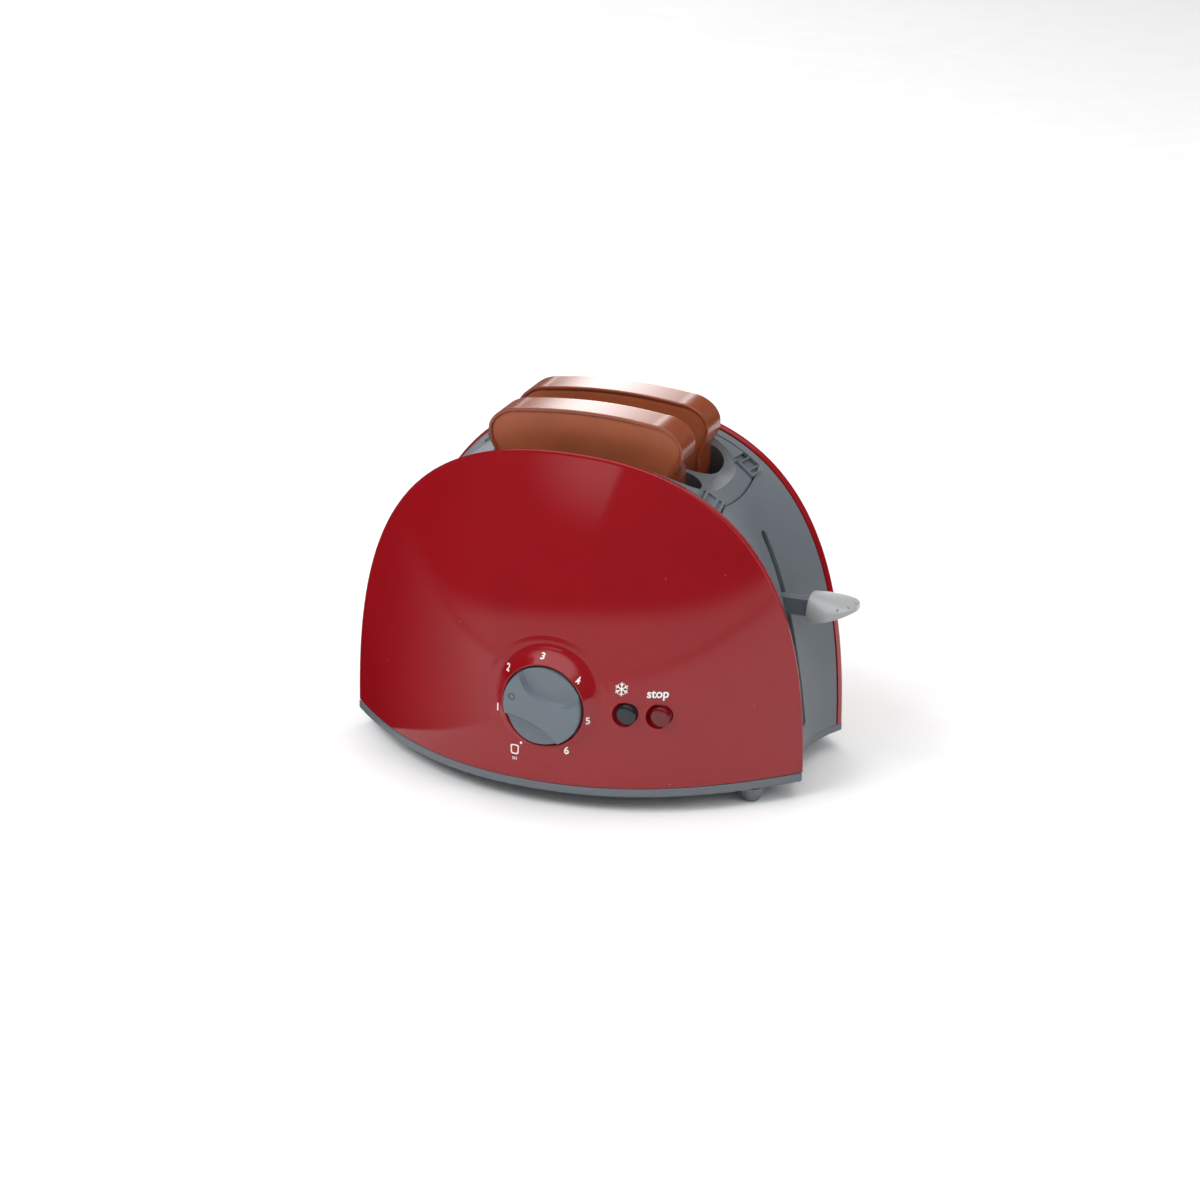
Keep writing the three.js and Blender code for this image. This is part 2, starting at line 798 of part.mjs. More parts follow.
function clipRidgeCut(endSign, sideSign) {
  const geometry = new THREE.BoxGeometry(clip_ridge / 2, clip_width * 2, 2 * clip_window_depth);
  geometry.translate(clip_window_length / 2 + clip_ridge / 2, 0, clip_thickness / 2);
  return placeClip(geometry, endSign, sideSign);
}

function saddleSkin() {
  const body = saddleBody(0, 1, shell_bottom);
  return body.subtract(saddleBody(housing_wall, 2, 0));
}

// Everything below the curved outer face, for trimming what hangs under the top cover.
function underSkin() {
  return saddleBody(0, 1, 0);
}

function middleHousing(skin) {
  let body = skin.subtract(coverBlock(cover_gap));
  for (const [endSign, sideSign] of corners()) {
    body = body.subtract(clipBody(endSign, sideSign, seam));
  }
  for (const [endSign, sideSign] of corners()) {
    const x = endSign * post_x;
    const y = sideSign * post_y;
    const post = rodAlongZ(post_radius, x, y, shell_bottom, post_top_z, small_round_steps);
    const hole = rodAlongZ(post_hole_radius, x, y, 0, post_top_z - wall, small_round_steps);
    body = body.add(post.intersect(saddleBody(wall / 2, 1, 0))).subtract(hole);
  }
  const middle = (slot_bottom_z + slot_top_z) / 2;
  const half = (slot_top_z - slot_bottom_z) / 2 - slot_half_width;
  body = body.subtract(boxBetween(slot_inner_x, slot_outer_x, -slot_half_width, slot_half_width,
    middle - half, middle + half));
  for (const z of [middle - half, middle + half]) {
    body = body.subtract(rodAlongX(slot_half_width, 0, z, slot_inner_x, slot_outer_x,
      small_round_steps));
  }
  return fromSolid(body);
}

function topCover(skin) {
  let body = skin.intersect(coverBlock(0));
  const between = uprightBlock(post_x, flank_depth + housing_edge_clearance);
  for (const [endSign, sideSign] of corners()) {
    body = body.add(clipBody(endSign, sideSign, 0).intersect(between));
  }
  const space = funnelSpace();
  body = body.subtract(space).add(funnelCore().intersect(underSkin()).subtract(space));
  for (const sideSign of [-1, 1]) {
    body = body.subtract(breadSlot(sideSign));
  }
  for (const [endSign, sideSign] of corners()) {
    body = body.subtract(clipWindow(endSign, sideSign));
    body = body.subtract(clipRidgeCut(endSign, sideSign));
  }
  return fromSolid(body);
}

// Base plate, feet and screws

function baseOutline(inset) {
  const points = [];
  const length = shell_half_length - inset;
  const steps = arch_steps;
  const arc = (x) => domeReach(x, 0) - inset;
  const corner = rimHalfGap(length);
  for (let i = 0; i <= 2 * steps; i += 1) {
    const x = length * Math.cos((Math.PI * i) / (2 * steps));
    points.push([x, -Math.max(arc(x), corner)]);
  }
  for (let i = 1; i < section_steps; i += 1) {
    const v = (2 * i) / section_steps - 1;
    points.push([-length + base_end_recess * (1 - v * v), v * corner]);
  }
  for (let i = 0; i <= 2 * steps; i += 1) {
    const x = -length * Math.cos((Math.PI * i) / (2 * steps));
    points.push([x, Math.max(arc(x), corner)]);
  }
  for (let i = 1; i < section_steps; i += 1) {
    const v = 1 - (2 * i) / section_steps;
    points.push([length - base_end_recess * (1 - v * v), v * corner]);
  }
  return points.reverse();
}

function plateSlab(levels) {
  const loops = levels.map(([inset, z]) => baseOutline(inset).map(([x, y]) => [x, y, z]));
  const triangles = [];
  const count = loops[0].length;
  for (let k = 0; k < loops.length - 1; k += 1) {
    for (let i = 0; i < count; i += 1) {
      const n = (i + 1) % count;
      triangles.push([loops[k][i], loops[k][n], loops[k + 1][n]]);
      triangles.push([loops[k][i], loops[k + 1][n], loops[k + 1][i]]);
    }
  }
  const capped = [[loops[0], true], [loops[loops.length - 1], false]];
  for (const [loop, turned] of capped) {
    const contour = loop.map(([x, y]) => new THREE.Vector2(x, y));
    for (const [a, b, c] of THREE.ShapeUtils.triangulateShape(contour, [])) {
      triangles.push(turned ? [loop[a], loop[c], loop[b]] : [loop[a], loop[b], loop[c]]);
    }
  }
  return toSolid(fromTriangles(triangles));
}

function footX(endSign) {
  return foot_shift + endSign * foot_x;
}

function basePlate() {
  const top = foot_height + plate_thickness;
  let body = plateSlab([[base_edge_round, foot_height], [0, foot_height + base_edge_round],
    [0, top]]);
  for (const sign of [-1, 1]) {
    const socket = rodAlongZ(rod_socket_radius, sign * rod_x, 0, foot_height + wall,
      top + rod_socket_height, small_round_steps);
    const hole = rodAlongZ(rod_radius + rod_running_gap, sign * rod_x, 0, foot_height + wall,
      top + 2 * rod_socket_height, small_round_steps);
    body = body.add(socket).subtract(hole);
  }
  for (const [endSign, sideSign] of corners()) {
    body = body.subtract(rodAlongZ(foot_peg_hole_radius, footX(endSign), sideSign * foot_y,
      0, foot_peg_top_z + seam, tiny_round_steps));
    body = body.subtract(rodAlongZ(screw_clear_radius, endSign * post_x, sideSign * post_y,
      0, post_top_z, tiny_round_steps));
    body = body.subtract(rodAlongZ(screw_recess_radius, endSign * post_x, sideSign * post_y,
      0, foot_height + screw_recess_depth, tiny_round_steps));
  }
  return fromSolid(body);
}

function foot(endSign, sideSign) {
  return fromSolid(turnedAlongZ([
    [0, 0],
    [foot_bottom_radius - foot_edge, 0],
    [foot_bottom_radius, foot_edge],
    [foot_top_radius, foot_height - seam],
    [foot_peg_radius, foot_height - seam],
    [foot_peg_radius, foot_peg_top_z],
    [0, foot_peg_top_z],
  ], footX(endSign), sideSign * foot_y, tiny_round_steps));
}

function screw(endSign, sideSign) {
  const x = endSign * post_x;
  const y = sideSign * post_y;
  const seat = foot_height + screw_recess_depth - seam;
  let body = turnedAlongZ([
    [0, seat - screw_head_height],
    [screw_head_radius - foot_edge, seat - screw_head_height],
    [screw_head_radius, seat - screw_head_height + foot_edge],
    [screw_head_radius, seat],
    [screw_shank_radius, seat],
    [screw_shank_radius, screw_tip_z - screw_tip_length],
    [0, screw_tip_z],
  ], x, y, tiny_round_steps);
  const low = seat - screw_head_height - screw_cross_depth;
  const high = seat - screw_head_height + screw_cross_depth;
  body = body.subtract(boxBetween(x - screw_cross_half_length, x + screw_cross_half_length,
    y - screw_cross_half_width, y + screw_cross_half_width, low, high));
  body = body.subtract(boxBetween(x - screw_cross_half_width, x + screw_cross_half_width,
    y - screw_cross_half_length, y + screw_cross_half_length, low, high));
  return fromSolid(body);
}

// Carriage, lever, rods and springs

function carriageArm(margin, startX, endX) {
  const shape = new THREE.Shape();
  const half = arm_half_width + margin;
  const low = arm_bottom_z - margin;
  const high = arm_top_z + margin;
  shape.moveTo(-half, low);
  shape.lineTo(half, low);
  shape.lineTo(half, high - arm_bevel);
  shape.lineTo(half - arm_bevel, high);
  shape.lineTo(arm_bevel - half, high);
  shape.lineTo(-half, high - arm_bevel);
  const geometry = new THREE.ExtrudeGeometry(shape, { depth: endX - startX, bevelEnabled: false });
  geometry.rotateX(Math.PI / 2);
  geometry.rotateZ(Math.PI / 2);
  geometry.translate(startX, 0, 0);
  return toSolid(geometry);
}

function carriage() {
  const deck_bottom = deck_top_z - deck_thickness;
  let body = boxBetween(-deck_half_length, deck_half_length, -deck_half_width, deck_half_width,
    deck_bottom, deck_top_z);
  const face = toast_pitch / 2 + toast_thickness / 2 + toast_side_play;
  const inner = toast_pitch / 2 - toast_thickness / 2 - toast_side_play;
  for (const sign of [-1, 1]) {
    for (const [a, b] of [[face, face + fence_thickness], [inner - fence_thickness, inner]]) {
      body = body.add(boxBetween(-fence_half_length, fence_half_length,
        Math.min(sign * a, sign * b), Math.max(sign * a, sign * b),
        deck_bottom, deck_top_z + fence_height));
    }
    body = body.add(rodAlongZ(deck_hub_radius, sign * rod_x, 0, deck_bottom,
      deck_top_z + deck_hub_height, small_round_steps));
  }
  body = body.add(carriageArm(0, arm_start_x + deck_hub_radius, arm_end_x));
  for (const sign of [-1, 1]) {
    body = body.subtract(rodAlongZ(rod_radius + rod_running_gap, sign * rod_x, 0, 0,
      cover_ceiling_z, small_round_steps));
  }
  return fromSolid(body);
}

function guideRod(sign) {
  return fromSolid(turnedAlongZ([
    [0, foot_height + wall + seam],
    [rod_radius, foot_height + wall + seam],
    [rod_radius, rod_top_z - foot_edge],
    [rod_radius - foot_edge, rod_top_z],
    [0, rod_top_z],
  ], sign * rod_x, 0, small_round_steps));
}

class Helix extends THREE.Curve {
  constructor(radius, length, turns) {
    super();
    this.radius = radius;
    this.length = length;
    this.turns = turns;
  }

  getPoint(t, target = new THREE.Vector3()) {
    const angle = 2 * Math.PI * this.turns * t;
    return target.set(this.radius * Math.cos(angle), this.radius * Math.sin(angle),
      this.length * t);
  }
}

function coil(radius, length, turns, wire) {
  const shape = new THREE.Shape();
  shape.absarc(0, 0, wire, 0, 2 * Math.PI, false);
  const geometry = new THREE.ExtrudeGeometry(shape, {
    steps: turns * coil_steps,
    curveSegments: wire_steps,
    bevelEnabled: false,
    extrudePath: new Helix(radius, length, turns),
  });
  return geometry;
}

function liftSpring(sign) {
  const low = foot_height + plate_thickness + rod_socket_height + seam + lift_spring_wire;
  const high = deck_top_z - deck_thickness - seam - lift_spring_wire;
  const geometry = coil(lift_spring_radius, high - low, lift_spring_turns, lift_spring_wire);
  geometry.translate(sign * rod_x, 0, low);
  return fromSolid(toSolid(geometry));
}

// The lever's finger piece: sections from its flat root to the rounded tip.
function knobSection(share) {
  const x = knob_base_x + (knob_tip_x - knob_base_x) * share;
  const widening = Math.sin(Math.PI * Math.min(share / knob_widest_share, 1) / 2);
  const grown = knob_base_half_width + (knob_wide_half_width - knob_base_half_width) * widening;
  const nose = Math.max(0, (share - knob_nose_start_share) / (1 - knob_nose_start_share));
  const half = grown * Math.sqrt(Math.max(0, 1 - nose ** knob_nose_power_share));
  const low = knob_base_bottom_z + (knob_tip_bottom_z - knob_base_bottom_z) * share ** knob_under_share;
  const high = knob_base_top_z + (knob_tip_top_z - knob_base_top_z) * share ** knob_crown_share;
  const lip = low + Math.min(knob_lip, (high - low) * knob_lip_share);
  const keel = half * knob_keel_share;
  const points = [[-keel, low], [-half, lip]];
  const count = 7;
  for (let i = 1; i < count; i += 1) {
    const angle = Math.PI * (1 - i / count);
    points.push([half * Math.sign(Math.cos(angle)) * Math.abs(Math.cos(angle)) ** knob_round_share,
      lip + (high - lip) * Math.sin(angle) ** knob_round_share]);
  }
  points.push([half, lip], [keel, low]);
  return points.map(([y, z]) => [x, y, z]);
}

function leverKnob() {
  const sections = [];
  const steps = 12;
  for (let k = 0; k <= steps; k += 1) {
    sections.push(knobSection(knob_end_share * Math.sin((Math.PI / 2) * (k / steps))));
  }
  let body = toSolid(sectionBody(sections));
  body = body.subtract(carriageArm(arm_socket_gap, knob_base_x - wall,
    arm_end_x + arm_socket_gap));
  return fromSolid(body);
}

// Dial, retainer, buttons and their bracket

function scoopCutter(x, z, radius, flatRadius) {
  const face = -dial_face_y;
  const deepRadius = radius - scoop_wall_run;
  const floorRadius = Math.min(deepRadius - scoop_floor_run, flatRadius);
  return turnedAlongY([
    [0, face - scoop_clear],
    [radius, face - scoop_clear],
    [radius, face],
    [deepRadius, face + scoop_deep],
    [deepRadius - scoop_wall_run, face + scoop_deep],
    [Math.max(floorRadius, scoop_wall_run), face + scoop_shallow],
    [0, face + scoop_shallow],
  ], dial_x + x, dial_z + z, round_steps * 2);
}

function dial() {
  let body = turnedAlongY([
    [0, -dial_face_y],
    [dial_radius - dial_edge_round, -dial_face_y],
    [dial_radius, dial_edge_round - dial_face_y],
    [dial_radius, -dial_back_y],
    [dial_shaft_radius, -dial_back_y],
    [dial_shaft_radius, -stem_end_y],
    [0, -stem_end_y],
  ], dial_x, dial_z, round_steps);
  body = body.subtract(scoopCutter(scoop_a_x, scoop_a_z, scoop_a_radius, scoop_wall_run));
  body = body.subtract(scoopCutter(scoop_b_x, scoop_b_z, scoop_b_radius, scoop_b_rim_radius));
  const groove = rodAlongY(pointer_radius, dial_x + pointer_x, dial_z + pointer_z,
    -dial_face_y - scoop_clear, pointer_depth - dial_face_y, small_round_steps);
  const dot = rodAlongY(pointer_dot_radius, dial_x + pointer_x, dial_z + pointer_z,
    -dial_face_y - scoop_clear, 2 * pointer_depth - dial_face_y, small_round_steps);
  return fromSolid(body.subtract(groove.subtract(dot)));
}

function dialRetainer() {
  const ring = rodAlongY(retainer_radius, dial_x, dial_z, -retainer_y + seam,
    -retainer_y + seam + retainer_thickness, small_round_steps);
  const hole = rodAlongY(retainer_hole_radius, dial_x, dial_z, -boss_face_y, -bracket_y,
    small_round_steps);
  return fromSolid(ring.subtract(hole));
}

function button(x, z, faceY) {
  const points = [[0, -faceY]];
  const steps = 4;
  for (let i = 1; i <= steps; i += 1) {
    const angle = (Math.PI / 2) * (i / steps);
    points.push([button_radius * Math.sin(angle),
      button_crown * (1 - Math.cos(angle)) - faceY]);
  }
  const back = -faceY + button_length;
  points.push([button_radius, back]);
  points.push([button_flange_radius, back]);
  points.push([button_flange_radius, back + button_flange_thickness]);
  points.push([button_pin_radius, back + button_flange_thickness]);
  points.push([button_pin_radius, -stem_end_y]);
  points.push([0, -stem_end_y]);
  return fromSolid(turnedAlongY(points, x, z, small_round_steps));
}

function buttonSpring(x, z, faceY) {
  const start = -faceY + button_length + button_flange_thickness + button_throw + seam
    + button_spring_wire;
  const end = -bracket_y - seam - button_spring_wire;
  const geometry = coil(button_spring_radius, end - start, button_spring_turns,
    button_spring_wire);
  geometry.rotateX(-Math.PI / 2);
  geometry.translate(x, start, z);
  return fromSolid(toSolid(geometry));
}

function controlBracket() {
  const bottom = foot_height + plate_thickness + seam;
  let body = boxBetween(bracket_left_x, bracket_right_x, -bracket_y,
    bracket_thickness - bracket_y, bottom, bracket_top_z);
  body = body.add(boxBetween(bracket_left_x, bracket_right_x, -bracket_y,
    bracket_foot_depth - bracket_y, bottom, bottom + bracket_thickness));
  const holes = [
    [dial_x, dial_z, bracket_shaft_hole_radius],
    [defrost_x, defrost_z, bracket_pin_hole_radius],
    [stop_x, stop_z, bracket_pin_hole_radius],
  ];
  for (const [x, z, radius] of holes) {
    body = body.subtract(rodAlongY(radius, x, z, -boss_face_y, 0, small_round_steps));
  }
  return fromSolid(body);
}

// Toast slices

function toastOutline(inset) {
  const body = toast_body_half_width - inset;
  const head = toast_head_half_width - inset;
  const bottom = toast_bottom_z + inset;
  const top = toast_top_z - inset;
  const corner = toast_corner - inset / 2;
  const shoulder = toast_shoulder_x - inset / 2;
  const shape = new THREE.Shape();
  const side = (sign) => {
    const low = [sign * body, toast_neck_z - corner / 2];
    const wide = [sign * head, toast_head_z];
    const high = [sign * shoulder, toast_shoulder_z - inset];
    return [low, wide, high];
  };
  const [lowR, wideR, highR] = side(1);
  const [lowL, wideL, highL] = side(-1);
  const lift = (wideR[1] - lowR[1]) / 2;
  const round = (highR[1] - wideR[1]) * arch_low_z_share;
  shape.moveTo(corner - body, bottom);
  shape.lineTo(body - corner, bottom);
  shape.quadraticCurveTo(body, bottom, body, bottom + corner);
  shape.lineTo(lowR[0], lowR[1]);
  shape.bezierCurveTo(lowR[0], lowR[1] + lift, wideR[0], wideR[1] - lift, wideR[0], wideR[1]);
  shape.bezierCurveTo(wideR[0], wideR[1] + round, highR[0] + round, highR[1], highR[0], highR[1]);
  shape.quadraticCurveTo(0, 2 * top - highR[1], highL[0], highL[1]);
  shape.bezierCurveTo(highL[0] - round, highL[1], wideL[0], wideL[1] + round, wideL[0], wideL[1]);
  shape.bezierCurveTo(wideL[0], wideL[1] - lift, lowL[0], lowL[1] + lift, lowL[0], lowL[1]);
  shape.lineTo(-body, bottom + corner);
  shape.quadraticCurveTo(-body, bottom, corner - body, bottom);
  return shape;
}

function toastSlab(inset, depth, round) {
  const geometry = new THREE.ExtrudeGeometry(toastOutline(inset + round), {
    depth: depth - 2 * round,
    curveSegments: 5,
    bevelEnabled: round > 0,
    bevelThickness: round,
    bevelSize: round,
    bevelSegments: 2,
  });
  geometry.translate(0, 0, round - depth / 2);
  geometry.rotateX(Math.PI / 2);
  return toSolid(geometry);
}

function toast(sign) {
  const middle = (sign * toast_pitch) / 2;
  let body = toastSlab(0, toast_thickness, toast_edge_round);
  const pocket = toastSlab(toast_bead, toast_thickness, 0);
  const reach = toast_thickness - toast_recess;
  body = body.subtract(pocket.translate([0, reach, 0]));
  body = body.subtract(pocket.translate([0, -reach, 0]));
  return fromSolid(body.translate([toast_x, middle, 0]));
}

// The finished part

function named(name, geometry, material) {
  const mesh = new THREE.Mesh(geometry, material);
  mesh.name = name;
  return mesh;
}

function build() {
  const part = new THREE.Group();
  const skin = saddleSkin();
  const add = (name, geometry, material) => part.add(named(name, geometry, material));
  add('front_shell', frontShell(), red);
  add('rear_shell', rearShell(), red);
  add('middle_housing', middleHousing(skin), grey);
  add('top_cover', topCover(skin), grey);
  add('base_plate', basePlate(), grey);
  const places = { right_front: [1, -1], right_rear: [1, 1], left_front: [-1, -1],
    left_rear: [-1, 1] };
  for (const [place, [endSign, sideSign]] of Object.entries(places)) {
    add(`foot_${place}`, foot(endSign, sideSign), grey);
    add(`screw_${place}`, screw(endSign, sideSign), steel);
  }
  add('control_bracket', controlBracket(), dark);
  add('carriage', carriage(), grey);
  add('lever_knob', leverKnob(), silver);
  add('guide_rod_left', guideRod(-1), steel);
  add('guide_rod_right', guideRod(1), steel);
  add('lift_spring_left', liftSpring(-1), steel);
  add('lift_spring_right', liftSpring(1), steel);
  add('dial', dial(), grey);
  add('dial_retainer', dialRetainer(), dark);
  add('defrost_button', button(defrost_x, defrost_z, defrost_face_y), black);
  add('defrost_spring', buttonSpring(defrost_x, defrost_z, defrost_face_y), steel);
  add('stop_button', button(stop_x, stop_z, stop_face_y), signal);
  add('stop_spring', buttonSpring(stop_x, stop_z, stop_face_y), steel);
  add('toast_front', toast(-1), brown);
  add('toast_rear', toast(1), brown);
  const box = new THREE.Box3().setFromObject(part);
  const middle = box.getCenter(new THREE.Vector3());
  for (const mesh of part.children) {
    mesh.geometry.translate(-middle.x, -middle.y, 0);
    mesh.geometry.computeVertexNormals();
  }
  return part;
}

export default build();
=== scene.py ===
import functools
import math
import types

import bpy
from mathutils import Matrix, Vector


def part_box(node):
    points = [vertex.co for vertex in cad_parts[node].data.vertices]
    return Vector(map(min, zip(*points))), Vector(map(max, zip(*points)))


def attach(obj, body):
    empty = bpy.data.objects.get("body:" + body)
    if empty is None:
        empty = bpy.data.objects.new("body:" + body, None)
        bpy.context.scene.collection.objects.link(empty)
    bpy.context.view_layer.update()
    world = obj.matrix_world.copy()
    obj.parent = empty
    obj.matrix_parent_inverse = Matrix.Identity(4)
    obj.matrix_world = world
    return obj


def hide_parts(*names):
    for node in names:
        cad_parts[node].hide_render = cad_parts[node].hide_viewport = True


bl_info = {
    "name": "Toy toaster",
    "version": (1, 0, 0),
    "blender": (4, 5, 0),
    "location": "View3D > Sidebar > Toaster",
    "description": "Builds the finished look of a toy toaster round its fixed frame",
    "category": "Object",
}

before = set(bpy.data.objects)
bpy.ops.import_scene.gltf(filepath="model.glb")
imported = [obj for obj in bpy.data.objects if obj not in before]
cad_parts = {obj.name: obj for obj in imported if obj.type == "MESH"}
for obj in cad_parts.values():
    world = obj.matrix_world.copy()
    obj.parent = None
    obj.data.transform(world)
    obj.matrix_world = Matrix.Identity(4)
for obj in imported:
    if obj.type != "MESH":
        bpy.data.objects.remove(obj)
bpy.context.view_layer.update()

# Places that come from the frame. The toaster is drawn about the middle of its base plate.
base_low, base_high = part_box("base_plate")
shell_low, shell_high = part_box("rear_shell")
toast_low, toast_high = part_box("toast_front")
knob_low, knob_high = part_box("lever_knob")
middle_x = (base_low.x + base_high.x) / 2
middle_y = (base_low.y + base_high.y) / 2
plate_bottom = base_low.z
shell_bottom = shell_low.z

ends_and_sides = [(1, -1), (1, 1), (-1, -1), (-1, 1)]
upward = Vector((0, 0, 1))
forward = Vector((0, -1, 0))
smooth_below = math.radians(35)


# Sizes and colours that a user would change

def length(name, default, description):
    return bpy.props.FloatProperty(
        name=name, description=description, default=default,
        unit="LENGTH", subtype="DISTANCE", precision=5,
    )


def number(name, default, description, unit="NONE"):
    return bpy.props.FloatProperty(name=name, description=description, default=default, unit=unit)


def turn(name, default, description):
    return bpy.props.FloatProperty(
        name=name, description=description, default=math.radians(default),
        unit="ROTATION", subtype="ANGLE",
    )


def colour(name, default, description):
    return bpy.props.FloatVectorProperty(
        name=name, description=description, default=default, size=3,
        subtype="COLOR", min=0, max=1,
    )


class ToasterShellSizes(bpy.types.PropertyGroup):
    half_length: length("Half length", (shell_high.x - shell_low.x) / 2, "Half of a shell's length")
    height: length("Height", shell_high.z - shell_low.z, "Height of the arch above its foot")
    rim_gap: length("Rim gap", 0.0374, "Distance from the middle to the rim at the crown")
    rim_narrowing: length("Rim narrowing", 0.0109, "How much nearer the rim comes at the ends")
    dome_depth: length("Dome depth", 0.0348, "How far the shell bulges past its rim")
    dome_bow: number("Dome bow", 2.2, "Power of the bulge along the toaster")
    wall: length("Wall", 0.0022, "Wall thickness")
    flank_depth: length("Flank depth", 0.0033, "Width of the band behind the rim")
    flank_draft: length("Flank draft", 0.0007, "How far that band leans inwards")
    edge_round: length("Edge round", 0.0007, "Radius of the rim's edge")
    boss_radius: length("Boss radius", 0.0171, "Radius of the collar round the dial")
    boss_face: length("Boss face", 0.0714, "Distance of the collar's face from the middle")
    boss_height: length("Boss height", 0.0076, "Depth of the collar's flank")
    boss_spread: length("Boss spread", 0.0056, "Width of the collar's flank")
    boss_blend: length("Boss blend", 0.0026, "Softness of the line where the collar meets the dome")
    boss_reach: length("Boss reach", 0.0262, "Radius within which the collar is modelled")
    well_radius: length("Well radius", 0.0163, "Radius of the hollow that holds the dial")
    dial_hole: length("Dial hole", 0.021, "Radius of the hole in the wall behind the collar")
    button_hole: length("Button hole", 0.0042, "Radius of the holes for the buttons")
    well_floor: length("Well floor", 0.0672, "Distance of the hollow's floor from the middle")


class ToasterBodySizes(bpy.types.PropertyGroup):
    half_length: length("Half length", 0.088, "Half length of the middle housing at its foot")
    height: length("Height", 0.114, "Height of the housing's middle line")
    rim_inset: length("Rim inset", 0.0013, "How far the housing stays inside the shells' arch")
    clearance: length("Clearance", 0.00035, "Gap between housing and shells")
    wall: length("Wall", 0.0022, "Wall thickness")
    lever_slot: length("Lever slot", 0.0022, "Half width of the lever's slot")
    slot_bottom: length("Slot bottom", 0.0075, "Lower end of the lever's slot above the foot")
    slot_top: length("Slot top", 0.0875, "Upper end of the lever's slot above the foot")
    cover_half_length: length("Cover half length", 0.056, "Half length of the top cover")
    cover_margin: length("Cover margin", 0.0072, "Distance of the cover's edge from the rim")
    cover_gap: length("Cover gap", 0.0006, "Parting line between cover and housing")
    cover_bow: length("Cover bow", 0.0018, "How far the cover's ends bow outwards")
    funnel_half_length: length("Funnel half length", 0.0526, "Half length of the sunken opening")
    funnel_half_width: length("Funnel half width", 0.0298, "Half width of the sunken opening")
    funnel_inner_length: length("Funnel floor half length", 0.0466, "Half length of its floor")
    funnel_inner_width: length("Funnel floor half width", 0.027, "Half width of its floor")
    funnel_depth: length("Funnel depth", 0.0036, "How far the opening is sunk")
    skirt_bottom: length("Skirt bottom", 0.0995, "Height of the cover's lower edge over the foot")
    slot_half_length: length("Bread slot half length", 0.0454, "Half length of a bread slot")
    slot_outer: length("Bread slot outer edge", 0.0244, "Outer edge of a bread slot")
    divider: length("Divider", 0.0016, "Half width of the web between the slots")
    slot_corner: length("Bread slot corner", 0.0095, "Corner radius of a bread slot")
    plate: length("Plate", 0.0037, "Thickness of the base plate")
    rod_along: length("Rod along", 0.028, "Distance of the guide rods from the middle")
    screw_along: length("Screw along", 0.0814, "Distance of the screws from the middle, along")
    screw_across: length("Screw across", 0.012, "Distance of the screws from the middle, across")
    post_radius: length("Post radius", 0.004, "Radius of the screw posts")
    post_top: length("Post top", 0.034, "Height of the screw posts' ends above the ground")
    clip_along: length("Clip along", 0.0546, "Distance of the clips from the middle, along")
    clip_across: length("Clip across", 0.0235, "Distance of the clips from the middle, across")
    clip_height: length("Clip height", 0.1048, "Height of the clips above the shells' foot")
    clip_pitch: turn("Clip slope", 35.5, "Slope of the clips on the shoulder")
    clip_yaw: turn("Clip turn", 9, "Turn of the clips towards the rim")


class ToasterSmallSizes(bpy.types.PropertyGroup):
    foot_bottom: length("Foot bottom", 0.0034, "Radius of a foot on the ground")
    foot_top: length("Foot top", 0.0059, "Radius of a foot under the plate")
    toast_bead: length("Toast bead", 0.0016, "Width of the bead round a slice")
    toast_recess: length("Toast recess", 0.0007, "Depth of the face inside the bead")
    button_radius: length("Button radius", 0.004, "Radius of the push buttons")
    button_crown: length("Button crown", 0.0011, "Height of a button's crown")
    dial_radius: length("Dial radius", 0.0158, "Radius of the dial")
    dial_face: length("Dial face", 0.0736, "Distance of the dial's face from the middle")
    numeral: length("Numeral size", 0.0042, "Size of the printed numbers")
    ink: length("Ink thickness", 0.00005, "Thickness of the print")


class ToasterColours(bpy.types.PropertyGroup):
    red: colour("Red", (0.262, 0.005, 0.009), "Side shells")
    grey: colour("Grey", (0.128, 0.146, 0.164), "Housing, cover and base")
    dial_grey: colour("Dial grey", (0.13, 0.16, 0.188), "Dial")
    silver: colour("Silver", (0.335, 0.343, 0.348), "Lever")
    toast: colour("Toast", (0.34, 0.085, 0.032), "Face of the slices")
    crust: colour("Crust", (0.235, 0.046, 0.013), "Bead and sides of the slices")
    black: colour("Black", (0.01, 0.012, 0.015), "Round button")
    signal: colour("Signal red", (0.13, 0.004, 0.008), "Stop button")
    dark: colour("Dark grey", (0.04, 0.047, 0.055), "Bracket behind the controls")
    steel: colour("Steel", (0.58, 0.59, 0.6), "Springs, rods and screws")
    print: colour("Print", (0.86, 0.85, 0.84), "Printed marks")
    floor: colour("Floor", (0.93, 0.93, 0.93), "Studio floor")


class ToasterStudio(bpy.types.PropertyGroup):
    lens: number("Lens", 93.74, "Focal length", "CAMERA")
    roll: turn("Roll", 0.561, "Turn of the camera about its own axis")
    key: number("Key", 34, "Power of the large soft light", "POWER")
    side: number("Side", 9, "Power of the light at the lever's end", "POWER")
    window: number("Window", 1.1, "Brightness of the pale patch the front reflects")
    back: number("Back", 8, "Brightness of the card reflected from behind")
    sky: number("Sky", 0.62, "Brightness of the room")


# General helpers

@functools.cache
def values(group):
    """The values of a property group as plain numbers, read once."""
    source = getattr(bpy.context.scene, group)
    names = [name for name in source.bl_rna.properties.keys() if name not in ("rna_type", "name")]
    return types.SimpleNamespace(**{name: getattr(source, name) for name in names})


def shell():
    return values("toaster_shell")


def body_sizes():
    return values("toaster_body")


def small():
    return values("toaster_small")


def colours():
    return values("toaster_colours")


def read_afresh():
    """Forgets what was worked out from sizes that a user may have changed since."""
    for known in (values, whole_arch, rim_reach, arch_height):
        known.cache_clear()


def at(x, y, z):
    """A point given about the toaster's middle, in the frame's own place."""
    return Vector((x + middle_x, y + middle_y, z))


def clear_selection():
    bpy.ops.object.select_all(action="DESELECT")


